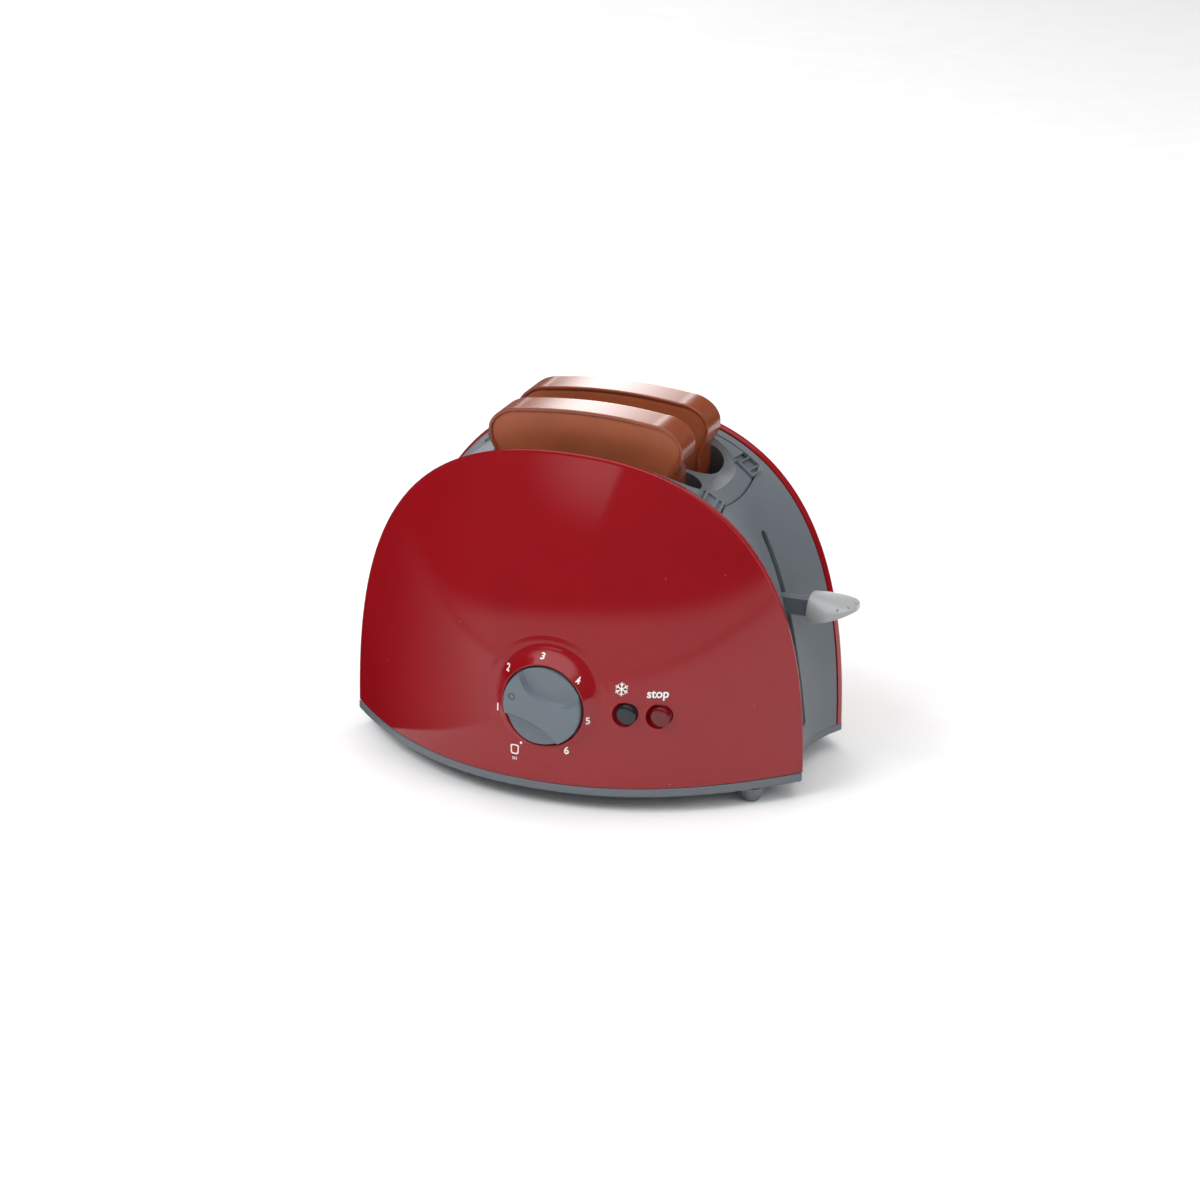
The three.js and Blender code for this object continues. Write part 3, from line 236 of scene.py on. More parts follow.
def choose(*objects):
    clear_selection()
    for item in objects:
        item.select_set(True)
    bpy.context.view_layer.objects.active = objects[0]


def added(name):
    """The object that the last operator added, under its own name."""
    piece = bpy.context.object
    piece.name = name
    return piece


def seal(piece):
    """Merges doubled points, closes open ends and turns the faces outwards."""
    choose(piece)
    bpy.ops.object.mode_set(mode="EDIT")
    bpy.ops.mesh.select_all(action="SELECT")
    bpy.ops.mesh.remove_doubles(threshold=1e-6)
    bpy.ops.mesh.select_all(action="SELECT")
    bpy.ops.mesh.fill_holes(sides=0)
    bpy.ops.mesh.select_all(action="SELECT")
    bpy.ops.mesh.normals_make_consistent(inside=False)
    bpy.ops.object.mode_set(mode="OBJECT")
    return piece


def sheet(name, columns, rows, place):
    """Adds a grid and moves each of its points to where place(column, row) says."""
    clear_selection()
    bpy.ops.mesh.primitive_grid_add(x_subdivisions=columns, y_subdivisions=rows, size=1)
    piece = added(name)
    for vertex in piece.data.vertices:
        column = round((vertex.co.x + 0.5) * columns)
        row = round((vertex.co.y + 0.5) * rows)
        vertex.co = place(column, row)
    return piece


def ringed(name, rings):
    """A closed body through a row of closed loops of points, with a cap at both ends."""
    columns = len(rings[0])
    piece = sheet(name, columns, len(rings) - 1, lambda i, k: rings[k][i % columns])
    return seal(piece)


def turned(name, profile, centre, along, steps=96):
    """Spins a profile of (radius, distance along the axis), which starts and ends on the axis."""
    clear_selection()
    bpy.ops.mesh.primitive_circle_add(vertices=len(profile), radius=1)
    piece = added(name)
    side = Vector((1, 0, 0))
    for vertex, (radius, reach) in zip(piece.data.vertices, profile):
        vertex.co = centre + side * radius + along * reach
    bpy.ops.object.mode_set(mode="EDIT")
    bpy.ops.mesh.select_all(action="SELECT")
    bpy.ops.mesh.spin(steps=steps, angle=math.tau, center=centre, axis=along)
    bpy.ops.object.mode_set(mode="OBJECT")
    return seal(piece)


def rod(name, radius, low, high, centre, along, steps=96):
    """A plain round rod between two distances along its axis."""
    return turned(name, [(0, low), (radius, low), (radius, high), (0, high)], centre, along, steps)


def block(name, low, high):
    """A box between two corners."""
    clear_selection()
    bpy.ops.mesh.primitive_cube_add(size=1, location=(low + high) / 2, scale=high - low)
    bpy.ops.object.transform_apply(location=True, rotation=True, scale=True)
    return added(name)


def cut(piece, cutter):
    """Cuts a body by another one and removes the second."""
    choose(piece)
    modifier = piece.modifiers.new("cut", "BOOLEAN")
    modifier.solver = "EXACT"
    modifier.operation = "DIFFERENCE"
    modifier.object = cutter
    bpy.ops.object.modifier_apply(modifier=modifier.name)
    bpy.data.objects.remove(cutter)
    return piece


def join(*pieces):
    choose(*pieces)
    bpy.ops.object.join()
    return pieces[0]


def sharp_edges(mesh, angle):
    """Edges whose two faces meet at more than an angle."""
    faces = {}
    for face in mesh.polygons:
        for key in face.edge_keys:
            faces.setdefault(key, []).append(face.normal)
    found = []
    for edge in mesh.edges:
        around = faces.get(tuple(sorted(edge.vertices)), [])
        if len(around) == 2 and around[0].angle(around[1], 0) > angle:
            found.append(edge)
    return found


def soften(piece, width, segments=2, angle=math.radians(40), wanted=None):
    """Rounds the sharp edges of a piece, or those whose middle passes the wanted test."""
    choose(piece)
    mesh = piece.data
    for item in (mesh.polygons, mesh.edges, mesh.vertices):
        item.foreach_set("select", [False] * len(item))
    for edge in sharp_edges(mesh, angle):
        first, second = (mesh.vertices[i].co for i in edge.vertices)
        if wanted is None or wanted((first + second) / 2):
            edge.select = True
    bpy.ops.object.mode_set(mode="EDIT")
    bpy.ops.mesh.select_mode(type="EDGE")
    bpy.ops.mesh.bevel(offset=width, offset_type="OFFSET", segments=segments, affect="EDGES",
                       clamp_overlap=True)
    bpy.ops.mesh.select_mode(type="VERT")
    bpy.ops.object.mode_set(mode="OBJECT")
    return piece


def place_by(piece, matrix):
    """Moves a piece that was made at the origin, with its place kept in its mesh."""
    piece.matrix_world = matrix
    choose(piece)
    bpy.ops.object.transform_apply(location=True, rotation=True, scale=True)
    return seal(piece)


def dress(piece, body, slot, nodes, *materials):
    """Shades a finished piece, gives it its finish, hangs it on the body it rides on and hides the
    frame's parts it stands for.
    """
    choose(piece)
    bpy.ops.object.shade_smooth_by_angle(angle=smooth_below)
    if not piece.data.materials:
        for material in materials:
            piece.data.materials.append(material)
    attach(piece, body)
    if nodes:
        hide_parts(*nodes)
    return piece


# Curves of the toaster

def full_turn(steps):
    """Cosine and sine at even steps all the way round."""
    angles = [math.tau * i / steps for i in range(steps)]
    return [(math.cos(angle), math.sin(angle)) for angle in angles]


def arc(steps, start=0, sweep=90):
    """Cosine and sine at even steps of an arc given in degrees, with both its ends."""
    angles = [math.radians(start + sweep * i / steps) for i in range(steps + 1)]
    return [(math.cos(angle), math.sin(angle)) for angle in angles]


def bezier(a, b, c, d, t):
    s = 1 - t
    return s * s * s * a + 3 * s * s * t * b + 3 * s * t * t * c + t * t * t * d


def quadratic(a, b, c, t):
    s = 1 - t
    return [s * s * p + 2 * s * t * q + t * t * r for p, q, r in zip(a, b, c)]


def cubic(a, b, c, d, t):
    return [bezier(p, q, r, s, t) for p, q, r, s in zip(a, b, c, d)]


# How far a curve's handles reach for the roundness of a circle
round_share = 0.5525

# Each arch's handles as shares of its half length, low and high, and of its height
shell_handles = (0.9984, 0.8101, round_share)
housing_handles = (0.8473, 0.5007, 1.0766)


def arch(sizes, handles, t):
    """A point on one half of an arch, from its foot at 0 to its crown at 1."""
    low, high, rise = handles
    half, height = sizes.half_length, sizes.height
    x = bezier(half, half * low, half * high, 0, t)
    return x, bezier(0, height * rise, height, height, t)


def shell_arch(t):
    return arch(shell(), shell_handles, t)


def housing_arch(t):
    return arch(body_sizes(), housing_handles, t)


def inset(curve, t, distance):
    """A point moved square to a curve, towards its inner side."""
    step = 0.001
    before, after = curve(max(0, t - step)), curve(min(1, t + step))
    along_x, along_z = after[0] - before[0], after[1] - before[1]
    size = math.hypot(along_x, along_z)
    x, z = curve(t)
    return x - distance * along_z / size, z + distance * along_x / size


@functools.cache
def whole_arch(curve, u, distance):
    """A point on the full arch, u from 0 at the lever's end over the crown to 1."""
    t = 2 * min(u, 1 - u)
    x, z = inset(curve, t, distance)
    if t >= 1:
        x = 0
    return (x if u <= 0.5 else -x), (0 if t <= 0 else z)


@functools.cache
def rim_reach(x):
    s = shell()
    return s.rim_gap - s.rim_narrowing * (x / s.half_length) ** 2


def dome_reach(x, share_up):
    s = shell()
    bow = 1 - min(abs(x) / s.half_length, 1) ** s.dome_bow
    return rim_reach(x) + s.dome_depth * bow * (1 - share_up * share_up)


@functools.cache
def arch_height(x):
    """Height of the shell's arch above its foot at a place along it."""
    low, high = 0, 1
    for _ in range(30):
        t = (low + high) / 2
        if shell_arch(t)[0] > abs(x):
            low = t
        else:
            high = t
    return shell_arch(low)[1]


@functools.cache
def dial_centre():
    low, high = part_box("dial")
    return (low.x + high.x) / 2 - middle_x, (low.z + high.z) / 2


def front_reach(x, z):
    """Distance of the front's surface from the middle, the dial's collar blended in."""
    s = shell()
    dome = dome_reach(x, (z - shell_bottom) / arch_height(x))
    dial_x, dial_z = dial_centre()
    out = math.hypot(x - dial_x, z - dial_z)
    collar = s.boss_face - max(0, out - s.boss_radius) * s.boss_height / s.boss_spread
    near = max(s.boss_blend - abs(dome - collar), 0) / s.boss_blend
    return max(dome, collar) + near * near * s.boss_blend / 4


def saddle_point(u, v, depth=0):
    """A point on the housing's hollow outer face, v from one rim to the other, or under it."""
    b = body_sizes()
    hollow = 1 - v * v
    rim_x, rim_z = whole_arch(shell_arch, u, b.rim_inset + depth)
    mid_x, mid_z = whole_arch(housing_arch, u, depth)
    gap = rim_reach(whole_arch(shell_arch, u, 0)[0]) - shell().flank_depth - b.clearance
    return rim_x + (mid_x - rim_x) * hollow, v * gap, rim_z + (mid_z - rim_z) * hollow


def saddle_height(x, y):
    """Height of the housing's outer face above a place in plan."""
    low, high = 0, 0.5
    height = 0
    for _ in range(26):
        u = (low + high) / 2
        gap = saddle_point(u, 1)[1]
        px, _, height = saddle_point(u, max(-1, min(1, y / gap)))
        if px > abs(x):
            low = u
        else:
            high = u
    return shell_bottom + height


# Materials

def node(tree, kind, feeds, **settings):
    """Adds a shader node. Feeds gives its inputs, each a constant or another node's output."""
    made = tree.nodes.new(f"ShaderNode{kind}")
    for name, value in settings.items():
        setattr(made, name, value)
    feed(tree, made, feeds)
    return made


def feed(tree, made, feeds):
    for name, value in feeds.items():
        if isinstance(value, bpy.types.NodeSocket):
            tree.links.new(value, made.inputs[name])
        else:
            made.inputs[name].default_value = value


def reckon(tree, operation, *terms):
    """A sum on shader values."""
    made = node(tree, "Math", dict(enumerate(terms)), operation=operation)
    return made.outputs["Value"]


def noise(tree, place, scale, detail):
    return node(tree, "TexNoise", {"Vector": place, "Scale": scale, "Detail": detail}).outputs["Fac"]


def ramp(tree, amount, stops):
    """Colours along a ramp, each stop with its position and colour."""
    made = node(tree, "ValToRGB", {"Fac": amount})
    elements = made.color_ramp.elements
    while len(elements) < len(stops):
        elements.new(0.5)
    for element, (position, tone) in zip(elements, stops):
        element.position = position
        element.color = (*tone, 1)
    return made.outputs["Color"]


def mixed(tree, amount, first, second):
    made = node(tree, "Mix", {"Factor": amount, "A": first, "B": second}, data_type="RGBA")
    return made.outputs["Result"]


def specked(tree, place, tone, speck):
    """Sparse pale specks of dust and scuff, mixed over the plastic's own colour."""
    dots = node(tree, "TexVoronoi", {"Vector": place, "Scale": 150})
    sparse = node(tree, "SeparateColor", {"Color": dots.outputs["Color"]}).outputs["Red"]
    fine = reckon(tree, "LESS_THAN", dots.outputs["Distance"], 0.045)
    few = reckon(tree, "GREATER_THAN", sparse, 0.8)
    faint = reckon(tree, "MULTIPLY", reckon(tree, "MULTIPLY", fine, few), 0.3)
    return mixed(tree, faint, tone, (*speck, 1))


def plastic(name, tone, roughness, mottle=0.05, clouds=38, grain=900, bump=0.02, specular=0.5,
            metallic=0, wear=None):
    """Moulded plastic: faint mottling in its colour, uneven gloss and a fine moulded grain."""
    material = bpy.data.materials.new(name)
    material.use_nodes = True
    tree = material.node_tree
    place = node(tree, "TexCoord", {}).outputs["Object"]
    darker, lighter = [[min(1, c * by) for c in tone] for by in (1 - mottle, 1 + mottle)]
    look = ramp(tree, noise(tree, place, clouds, 4), [(0.35, darker), (0.65, lighter)])
    if wear:
        look = specked(tree, place, look, wear)
    smear = {"Value": noise(tree, place, 14, 6), "To Min": roughness * 0.85, "To Max": roughness * 1.2}
    skin = {"Height": noise(tree, place, grain, 3), "Strength": bump, "Distance": 0.0002}
    feed(tree, tree.nodes["Principled BSDF"], {
        "Base Color": look, "Metallic": metallic, "Specular IOR Level": specular,
        "Roughness": node(tree, "MapRange", smear).outputs["Result"],
        "Normal": node(tree, "Bump", skin).outputs["Normal"],
    })
    return material


def finishes():
    """The toaster's finishes by name, made once."""
    c = colours()
    if "bright_steel" not in bpy.data.materials:
        plastic("red_gloss", c.red, 0.09, mottle=0.03, grain=500, bump=0.006, wear=(0.5, 0.25, 0.22))
        plastic("grey_moulded", c.grey, 0.42, mottle=0.04, grain=1400, bump=0.05, specular=0.42)
        plastic("grey_dial", c.dial_grey, 0.36, mottle=0.03, grain=1400, bump=0.03)
        plastic("silver_satin", c.silver, 0.3, mottle=0.03, grain=1800, bump=0.02)
        plastic("black_gloss", c.black, 0.14, mottle=0.2)
        plastic("red_clear", c.signal, 0.1, mottle=0.08)
        plastic("dark_moulded", c.dark, 0.6, mottle=0.08)
        plastic("toast_crust", c.crust, 0.25, mottle=0.08, grain=700, bump=0.05, specular=0.8,
                wear=(0.6, 0.4, 0.3))
        plastic("toast_face", c.toast, 0.46, mottle=0.16, clouds=24, grain=420, bump=0.16)
        plastic("printed_white", c.print, 0.5, mottle=0.02, bump=0.01)
        plastic("bright_steel", c.steel, 0.26, mottle=0.04, grain=2400, bump=0.05, metallic=1)
    return bpy.data.materials


# Side shells

def shell_stations():
    """The wall's cross-section: each entry gives a point for a place u along the arch."""
    s = shell()
    dome_rows = 44
    stations = []

    def dome(share_up, u):
        x, z = whole_arch(shell_arch, u, s.edge_round)
        return x, dome_reach(whole_arch(shell_arch, u, 0)[0], share_up), z * share_up

    def band(inward, back, u):
        x, z = whole_arch(shell_arch, u, inward)
        return x, rim_reach(whole_arch(shell_arch, u, 0)[0]) - back, z

    def inner_dome(share_up, u):
        x, z = whole_arch(shell_arch, u, s.wall)
        return x, dome_reach(whole_arch(shell_arch, u, 0)[0], share_up) - s.wall, z * share_up

    for row in range(dome_rows):
        stations.append((dome, row / dome_rows))
    for near_rim in (0.988, 0.995, 1):
        stations.append((dome, near_rim))
    for cosine, sine in arc(5)[1:]:
        stations.append((band, s.edge_round * (1 - sine), s.edge_round * (1 - cosine)))
    stations.append((band, s.flank_draft * 0.45, s.flank_depth / 2))
    stations.append((band, s.flank_draft, s.flank_depth))
    stations.append((band, s.flank_draft + s.wall, s.flank_depth))
    stations.append((band, s.wall, s.wall + s.edge_round))
    for row in range(dome_rows // 2, -1, -1):
        stations.append((inner_dome, 2 * row / dome_rows))
    return stations


def shell_wall(name, side):
    """One bulging shell as a closed wall."""
    stations = shell_stations()
    columns = 160
    rings = []
    for column in range(columns + 1):
        u = column / columns
        ring = []
        for station in stations:
            x, y, z = station[0](*station[1:], u)
            ring.append(at(x, side * y, shell_bottom + z))
        rings.append(ring)
    return ringed(name, rings)


def collar():
    """The raised collar and the hollow for the dial, flowing out into the dome."""
    s = shell()
    dial_x, dial_z = dial_centre()
    directions = full_turn(128)
    lift = 0.00005
    count = 26

    def floor(x, z):
        return s.well_floor

    def ring(radius, height, reach=front_reach):
        points = []
        for cosine, sine in directions:
            x, z = dial_x + radius * cosine, max(dial_z + radius * sine, shell_bottom)
            points.append(at(x, -reach(x, z) - height, z))
        return points

    rings = [ring(s.well_radius * 0.3, 0, floor), ring(s.well_radius, 0, floor)]
    lip = ((0.00002, 0.0006), (0.0001, 0.00025), (0.0003, 0.00006), (0.0006, 0))
    outward = [(s.well_radius + out, drop) for out, drop in lip]
    start = s.well_radius + 0.0008
    outward += [(start + (s.boss_reach - start) * k / count, 0) for k in range(count + 1)]
    for radius, drop in outward:
        edge = max(0, (radius / s.boss_reach - 0.93) / 0.07)
        rings.append(ring(radius, lift * (1 - 2.4 * edge) - drop))
    rings.append(ring(s.boss_reach * 0.985, -0.001))
    rings.append(ring(s.boss_reach * 0.8, -0.0019))
    rings.append(ring(s.well_radius, -0.0026, floor))
    return ringed("collar", rings)


def button_places():
    """Centre of each button across and up, and how far the front's surface stands there."""
    places = {}
    for name in ("defrost_button", "stop_button"):
        low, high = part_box(name)
        x, z = (low.x + high.x) / 2 - middle_x, (low.z + high.z) / 2
        places[name] = (x, z, -(low.y - middle_y))
    return places


class ToasterShells(bpy.types.Operator):
    """Models the two glossy side shells with the dial's collar and the button holes"""

    bl_idname = "toaster.shells"
    bl_label = "Side shells"

    def execute(self, context):
        read_afresh()
        s = shell()
        red = finishes()["red_gloss"]
        rear = shell_wall("shell_rear", 1)
        dress(rear, "base", "shell_red", ["rear_shell"], red)
        front = shell_wall("shell_front", -1)
        dial_x, dial_z = dial_centre()
        inside, outside = s.rim_gap + 0.0126, s.rim_gap + 0.0526
        cut(front, rod("hole", s.dial_hole, inside, outside, at(dial_x, 0, dial_z), forward))
        for x, z, _ in button_places().values():
            reach = front_reach(x, z)
            hole = s.button_hole
            profile = [(0, inside), (hole, inside), (hole, reach - 0.0007),
                       (hole + 0.0004, reach - 0.0002), (hole + 0.001, reach + 0.0003),
                       (hole + 0.0033, outside - 0.01), (0, outside - 0.01)]
            cut(front, turned("hole", profile, at(x, 0, z), forward))
        join(front, collar())
        dress(front, "base", "shell_red", ["front_shell"], red)
        return {"FINISHED"}


# Middle housing and top cover

outline_steps = 192
through_heights = (0.07, 0.15)


def cover_outline(grow=0.0):
    """Edge of the cover in plan, its ends bowed outwards, or the edge of the hole round it."""
    b = body_sizes()
    half_length = b.cover_half_length + grow
    points = []
    for c, s in full_turn(outline_steps):
        reach = max(abs(c), abs(s))
        x = half_length * c / reach
        y = s / reach * (rim_reach(x) - b.cover_margin + grow)
        if abs(c) > abs(s):
            x += math.copysign(b.cover_bow * (1 - (s / c) ** 2), c)
        points.append((x, y))
    return points


clip_half = Vector((0.0042, 0.00625, 0.0016))


def clip_matrix(end, side):
    b = body_sizes()
    place = Matrix.Translation((b.clip_along, side * b.clip_across, shell_bottom + b.clip_height))
    slope = Matrix.Rotation(b.clip_pitch, 4, "Y") @ Matrix.Rotation(-side * b.clip_yaw, 4, "Z")
    flip = Matrix.Diagonal((end, 1, 1, 1))
    return Matrix.Translation((middle_x, middle_y, 0)) @ flip @ place @ slope


def clip_pocket(end, side, margin):
    """Space round one clip, for cutting."""
    half = clip_half + Vector((0.0003 + margin, margin, 0))
    pocket = block("pocket", -half, half + Vector((0, 0, 0.006)))
    return place_by(pocket, clip_matrix(end, side))


def clip_recess(end, side):
    """The shallow recess beside a clip, towards the middle of the cover."""
    recess = block("recess", Vector((-0.0066, -0.0052, -0.0011)), Vector((-0.0044, 0.0062, 0.006)))
    return place_by(recess, clip_matrix(end, side))


def clip(end, side):
    """One snap clip: a rounded frame, open to the rim, with a groove before its outer rail."""
    clip_body = block("clip", -clip_half, clip_half - Vector((0, 0, 0.001)))
    reach = sorted((side * -0.005, side * 0.0075))
    for low, high, floor in ((-0.0033, 0.0006, -0.0006), (0.0017, 0.0031, -0.0004)):
        groove = block("groove", Vector((low, reach[0], floor)), Vector((high, reach[1], 0.003)))
        cut(clip_body, groove)
    soften(clip_body, 0.0003, 3)
    return place_by(clip_body, clip_matrix(end, side))


def lever_slot_cutter():
    b = body_sizes()
    radius = b.lever_slot
    low, high = shell_bottom + b.slot_bottom + radius, shell_bottom + b.slot_top - radius
    bend = arc(16, 0, 180)
    loop = [(cosine * radius, high + sine * radius) for cosine, sine in bend]
    loop += [(-cosine * radius, low - sine * radius) for cosine, sine in bend]
    inside, outside = b.cover_half_length - 0.001, b.half_length + 0.011
    return ringed("slot", [[at(x, y, z) for y, z in loop] for x in (inside, outside)])


class ToasterHousing(bpy.types.Operator):
    """Models the hollow-backed grey housing with the lever's slot and its screw posts"""

    bl_idname = "toaster.housing"
    bl_label = "Middle housing"

    def execute(self, context):
        read_afresh()
        b = body_sizes()
        columns, rows = 160, 28
        rings = []
        for column in range(columns + 1):
            u = column / columns
            outer = [saddle_point(u, 2 * k / rows - 1) for k in range(rows + 1)]
            inner = [saddle_point(u, 1 - 2 * k / rows, b.wall) for k in range(rows + 1)]
            rings.append([at(x, y, shell_bottom + z) for x, y, z in outer + inner])
        housing = ringed("housing", rings)
        hole = cover_outline(b.cover_gap)
        cut(housing, ringed("opening", [[at(x, y, z) for x, y in hole] for z in through_heights]))
        cut(housing, lever_slot_cutter())
        for end, side in ends_and_sides:
            cut(housing, clip_pocket(end, side, 0.0006))
        soften(housing, 0.0003, 2, math.radians(60),
               lambda p: abs(p.x - middle_x) < 0.094 and p.z > shell_bottom + 0.004
               and abs(p.y - middle_y) < rim_reach(p.x - middle_x) - 0.0065)
        for end, side in ends_and_sides:
            place = at(end * b.screw_along, side * b.screw_across, 0)
            join(housing, rod("post", b.post_radius, shell_bottom, b.post_top, place, upward, 24))
        dress(housing, "base", "body_grey", ["middle_housing"], finishes()["grey_moulded"])
        return {"FINISHED"}


def rounded_loop(half_length, half_width, steps, power):
    """A loop between an ellipse, at a power of 1, and a rectangle, at a power near 0."""
    return [(half_length * math.copysign(abs(c) ** power, c),
             half_width * math.copysign(abs(s) ** power, s)) for c, s in full_turn(steps)]


def opening_outline(half_length, half_width):
    return rounded_loop(half_length, half_width, outline_steps, 2 / 3.3)


def blend_loops(first, second, amount):
    return [(p[0] + (q[0] - p[0]) * amount, p[1] + (q[1] - p[1]) * amount)
            for p, q in zip(first, second)]


def bread_slot_cutter(side):
    b = body_sizes()
    corner = b.slot_corner
    half = b.slot_half_length
    loop = []
    for cx, cy, start in ((half - corner, b.slot_outer - corner, 0),
                          (corner - half, b.slot_outer - corner, 90),
                          (corner - half, b.divider + corner, 180),
                          (half - corner, b.divider + corner, 270)):
        loop += [(cx + corner * cosine, cy + corner * sine) for cosine, sine in arc(12, start)]
    return ringed("bread_slot", [[at(x, side * y, z) for x, y in loop] for z in through_heights])


class ToasterCover(bpy.types.Operator):
    """Models the top cover with its sunken opening, two bread slots and four snap clips"""

    bl_idname = "toaster.cover"
    bl_label = "Top cover"

    def execute(self, context):
        read_afresh()
        b = body_sizes()
        inward = 0.0012
        edge = cover_outline()
        lip = opening_outline(b.funnel_half_length, b.funnel_half_width)
        floor = opening_outline(b.funnel_inner_length, b.funnel_inner_width)
        skirt = opening_outline(b.funnel_half_length - inward, b.funnel_half_width - inward)

        def level(loop, depth):
            return [at(x, y, saddle_height(x, y) - depth) for x, y in loop]

        rings = [[at(x, 0, saddle_height(x, 0) - b.funnel_depth - 0.001) for x, _ in floor]]
        rings.append(level([(x, y * 0.5) for x, y in floor], b.funnel_depth + 0.0006))
        for k in range(15, -1, -1):
            fall = k / 15
            slope = fall * fall * (3 - 2 * fall)
            depth = b.funnel_depth * (0.7 * fall ** 0.75 + 0.3 * slope)
            rings.append(level(blend_loops(lip, floor, fall), depth))
        for amount in (0.04, 0.1, 0.3, 0.6, 0.9, 0.985):
            rings.append(level(blend_loops(lip, edge, amount), 0))
        rings.append(level(edge, 0.00015))
        rings.append(level(edge, b.wall))
        rings.append(level(blend_loops(edge, skirt, 0.97), b.wall))
        rings.append([at(x, y, shell_bottom + b.skirt_bottom) for x, y in skirt])
        cover = ringed("cover", rings)
        for side in (-1, 1):
            cut(cover, bread_slot_cutter(side))
        for end, side in ends_and_sides:
            cut(cover, clip_pocket(end, side, 0.0005))
            cut(cover, clip_recess(end, side))

        def slot_edge(p):
            near = 0.0004
            x, y = abs(p.x - middle_x), abs(p.y - middle_y)
            return p.z > shell_bottom + b.skirt_bottom + 0.001 \
                and x < b.slot_half_length + near and y < b.slot_outer + near

        soften(cover, 0.0005, 3, math.radians(50), slot_edge)
        for end, side in ends_and_sides:
            join(cover, clip(end, side))
        dress(cover, "base", "body_grey", ["top_cover"], finishes()["grey_moulded"])
        return {"FINISHED"}


# Base plate and feet

def plate_outline(inward):
    s = shell()
    reach = s.half_length - inward
    side_steps, end_steps = 72, 16
    recess = 0.0075
    corner = rim_reach(reach)
    near = [reach * cosine for cosine, _ in arc(side_steps, 0, 180)]
    loop = [(x, -max(dome_reach(x, 0) - inward, corner)) for x in near]
    for i in range(1, end_steps):
        v = 2 * i / end_steps - 1
        loop.append((-reach + recess * (1 - v * v), v * corner))
    loop += [(-x, max(dome_reach(x, 0) - inward, corner)) for x in near]
    for i in range(1, end_steps):
        v = 1 - 2 * i / end_steps
        loop.append((reach - recess * (1 - v * v), v * corner))
    return loop


class ToasterBase(bpy.types.Operator):
    """Models the base plate with its rounded edge and screw hollows, and the four feet"""

    bl_idname = "toaster.base"
    bl_label = "Base plate and feet"

    def execute(self, context):
        read_afresh()
        grey = finishes()["grey_moulded"]
        b = body_sizes()
        top = plate_bottom + b.plate
        round_off, flat, bevel = 0.0012, 0.006, 0.0003
        levels = [(flat, plate_bottom)]
        levels += [(round_off * (1 - sine), plate_bottom + round_off * (1 - cosine))
                   for cosine, sine in arc(4)]
        levels += [(0, top - bevel), (bevel, top), (flat, top)]
        rings = [[at(x, y, z) for x, y in plate_outline(inward)] for inward, z in levels]
        plate = ringed("base_plate_moulded", rings)
        for end, side in ends_and_sides:
            place = at(end * b.screw_along, side * b.screw_across, 0)
            cut(plate, rod("hollow", 0.0036, 0, plate_bottom + 0.0019, place, upward, 32))
        for end in (-1, 1):
            place = at(end * b.rod_along, 0, 0)
            join(plate, rod("socket", 0.0046, top - 0.001, top + 0.004, place, upward, 32))
        dress(plate, "base", "body_grey", ["base_plate"], grey)
        for place in ("right_front", "right_rear", "left_front", "left_rear"):
            low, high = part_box(f"foot_{place}")
            centre = Vector(((low.x + high.x) / 2, (low.y + high.y) / 2, 0))
            under = plate_bottom - 0.0001
            sole, thick = small().foot_bottom, small().foot_top
            profile = [(0, 0), (sole - 0.0006, 0), (sole - 0.0002, 0.0002), (sole, 0.0006),
                       (thick, under), (0, under)]
            foot = turned(f"foot_{place}_moulded", profile, centre, upward, 48)
            dress(foot, "base", "body_grey", [f"foot_{place}"], grey)
        return {"FINISHED"}


# Toast slices

def toast_outline():
    """Outline of a slice across and up, about its own middle, from the lower right corner."""
    waist, corner = 0.0037, 0.007
    crown_end, crown_drop, head_drop, neck_drop = 0.0119, 0.002, 0.0118, 0.0251
    half = (toast_high.x - toast_low.x) / 2
    body_half = half - waist
    bottom, top = toast_low.z, toast_high.z
    shoulder = (half - crown_end, top - crown_drop)
    head = (half, top - head_drop)
    neck = (body_half, top - neck_drop)
    lift = (head[1] - neck[1]) / 2
    swell = (shoulder[1] - head[1]) * round_share
    steps = 18
    right = [quadratic((body_half - corner, bottom), (body_half, bottom),
                       (body_half, bottom + corner), i / steps) for i in range(steps + 1)]
    right += [cubic(neck, (neck[0], neck[1] + lift), (head[0], head[1] - lift), head, i / steps)
              for i in range(steps + 1)]
    right += [cubic(head, (head[0], head[1] + swell), (shoulder[0] + swell, shoulder[1]), shoulder,
                    i / steps) for i in range(1, steps + 1)]
    right += [quadratic(shoulder, (0, 2 * top - shoulder[1]), (-shoulder[0], shoulder[1]),
                        i / (2 * steps)) for i in range(1, steps + 1)]
    return right + [(-x, z) for x, z in right[-2::-1]]


def offset_loop(points, distance):
    """The loop moved inwards, square to its own line."""
    count = len(points)
    moved = []
    for i, (x, z) in enumerate(points):
        before, after = points[i - 1], points[(i + 1) % count]
        along_x, along_z = after[0] - before[0], after[1] - before[1]
        size = math.hypot(along_x, along_z)
        moved.append((x - distance * along_z / size, z + distance * along_x / size))
    return moved


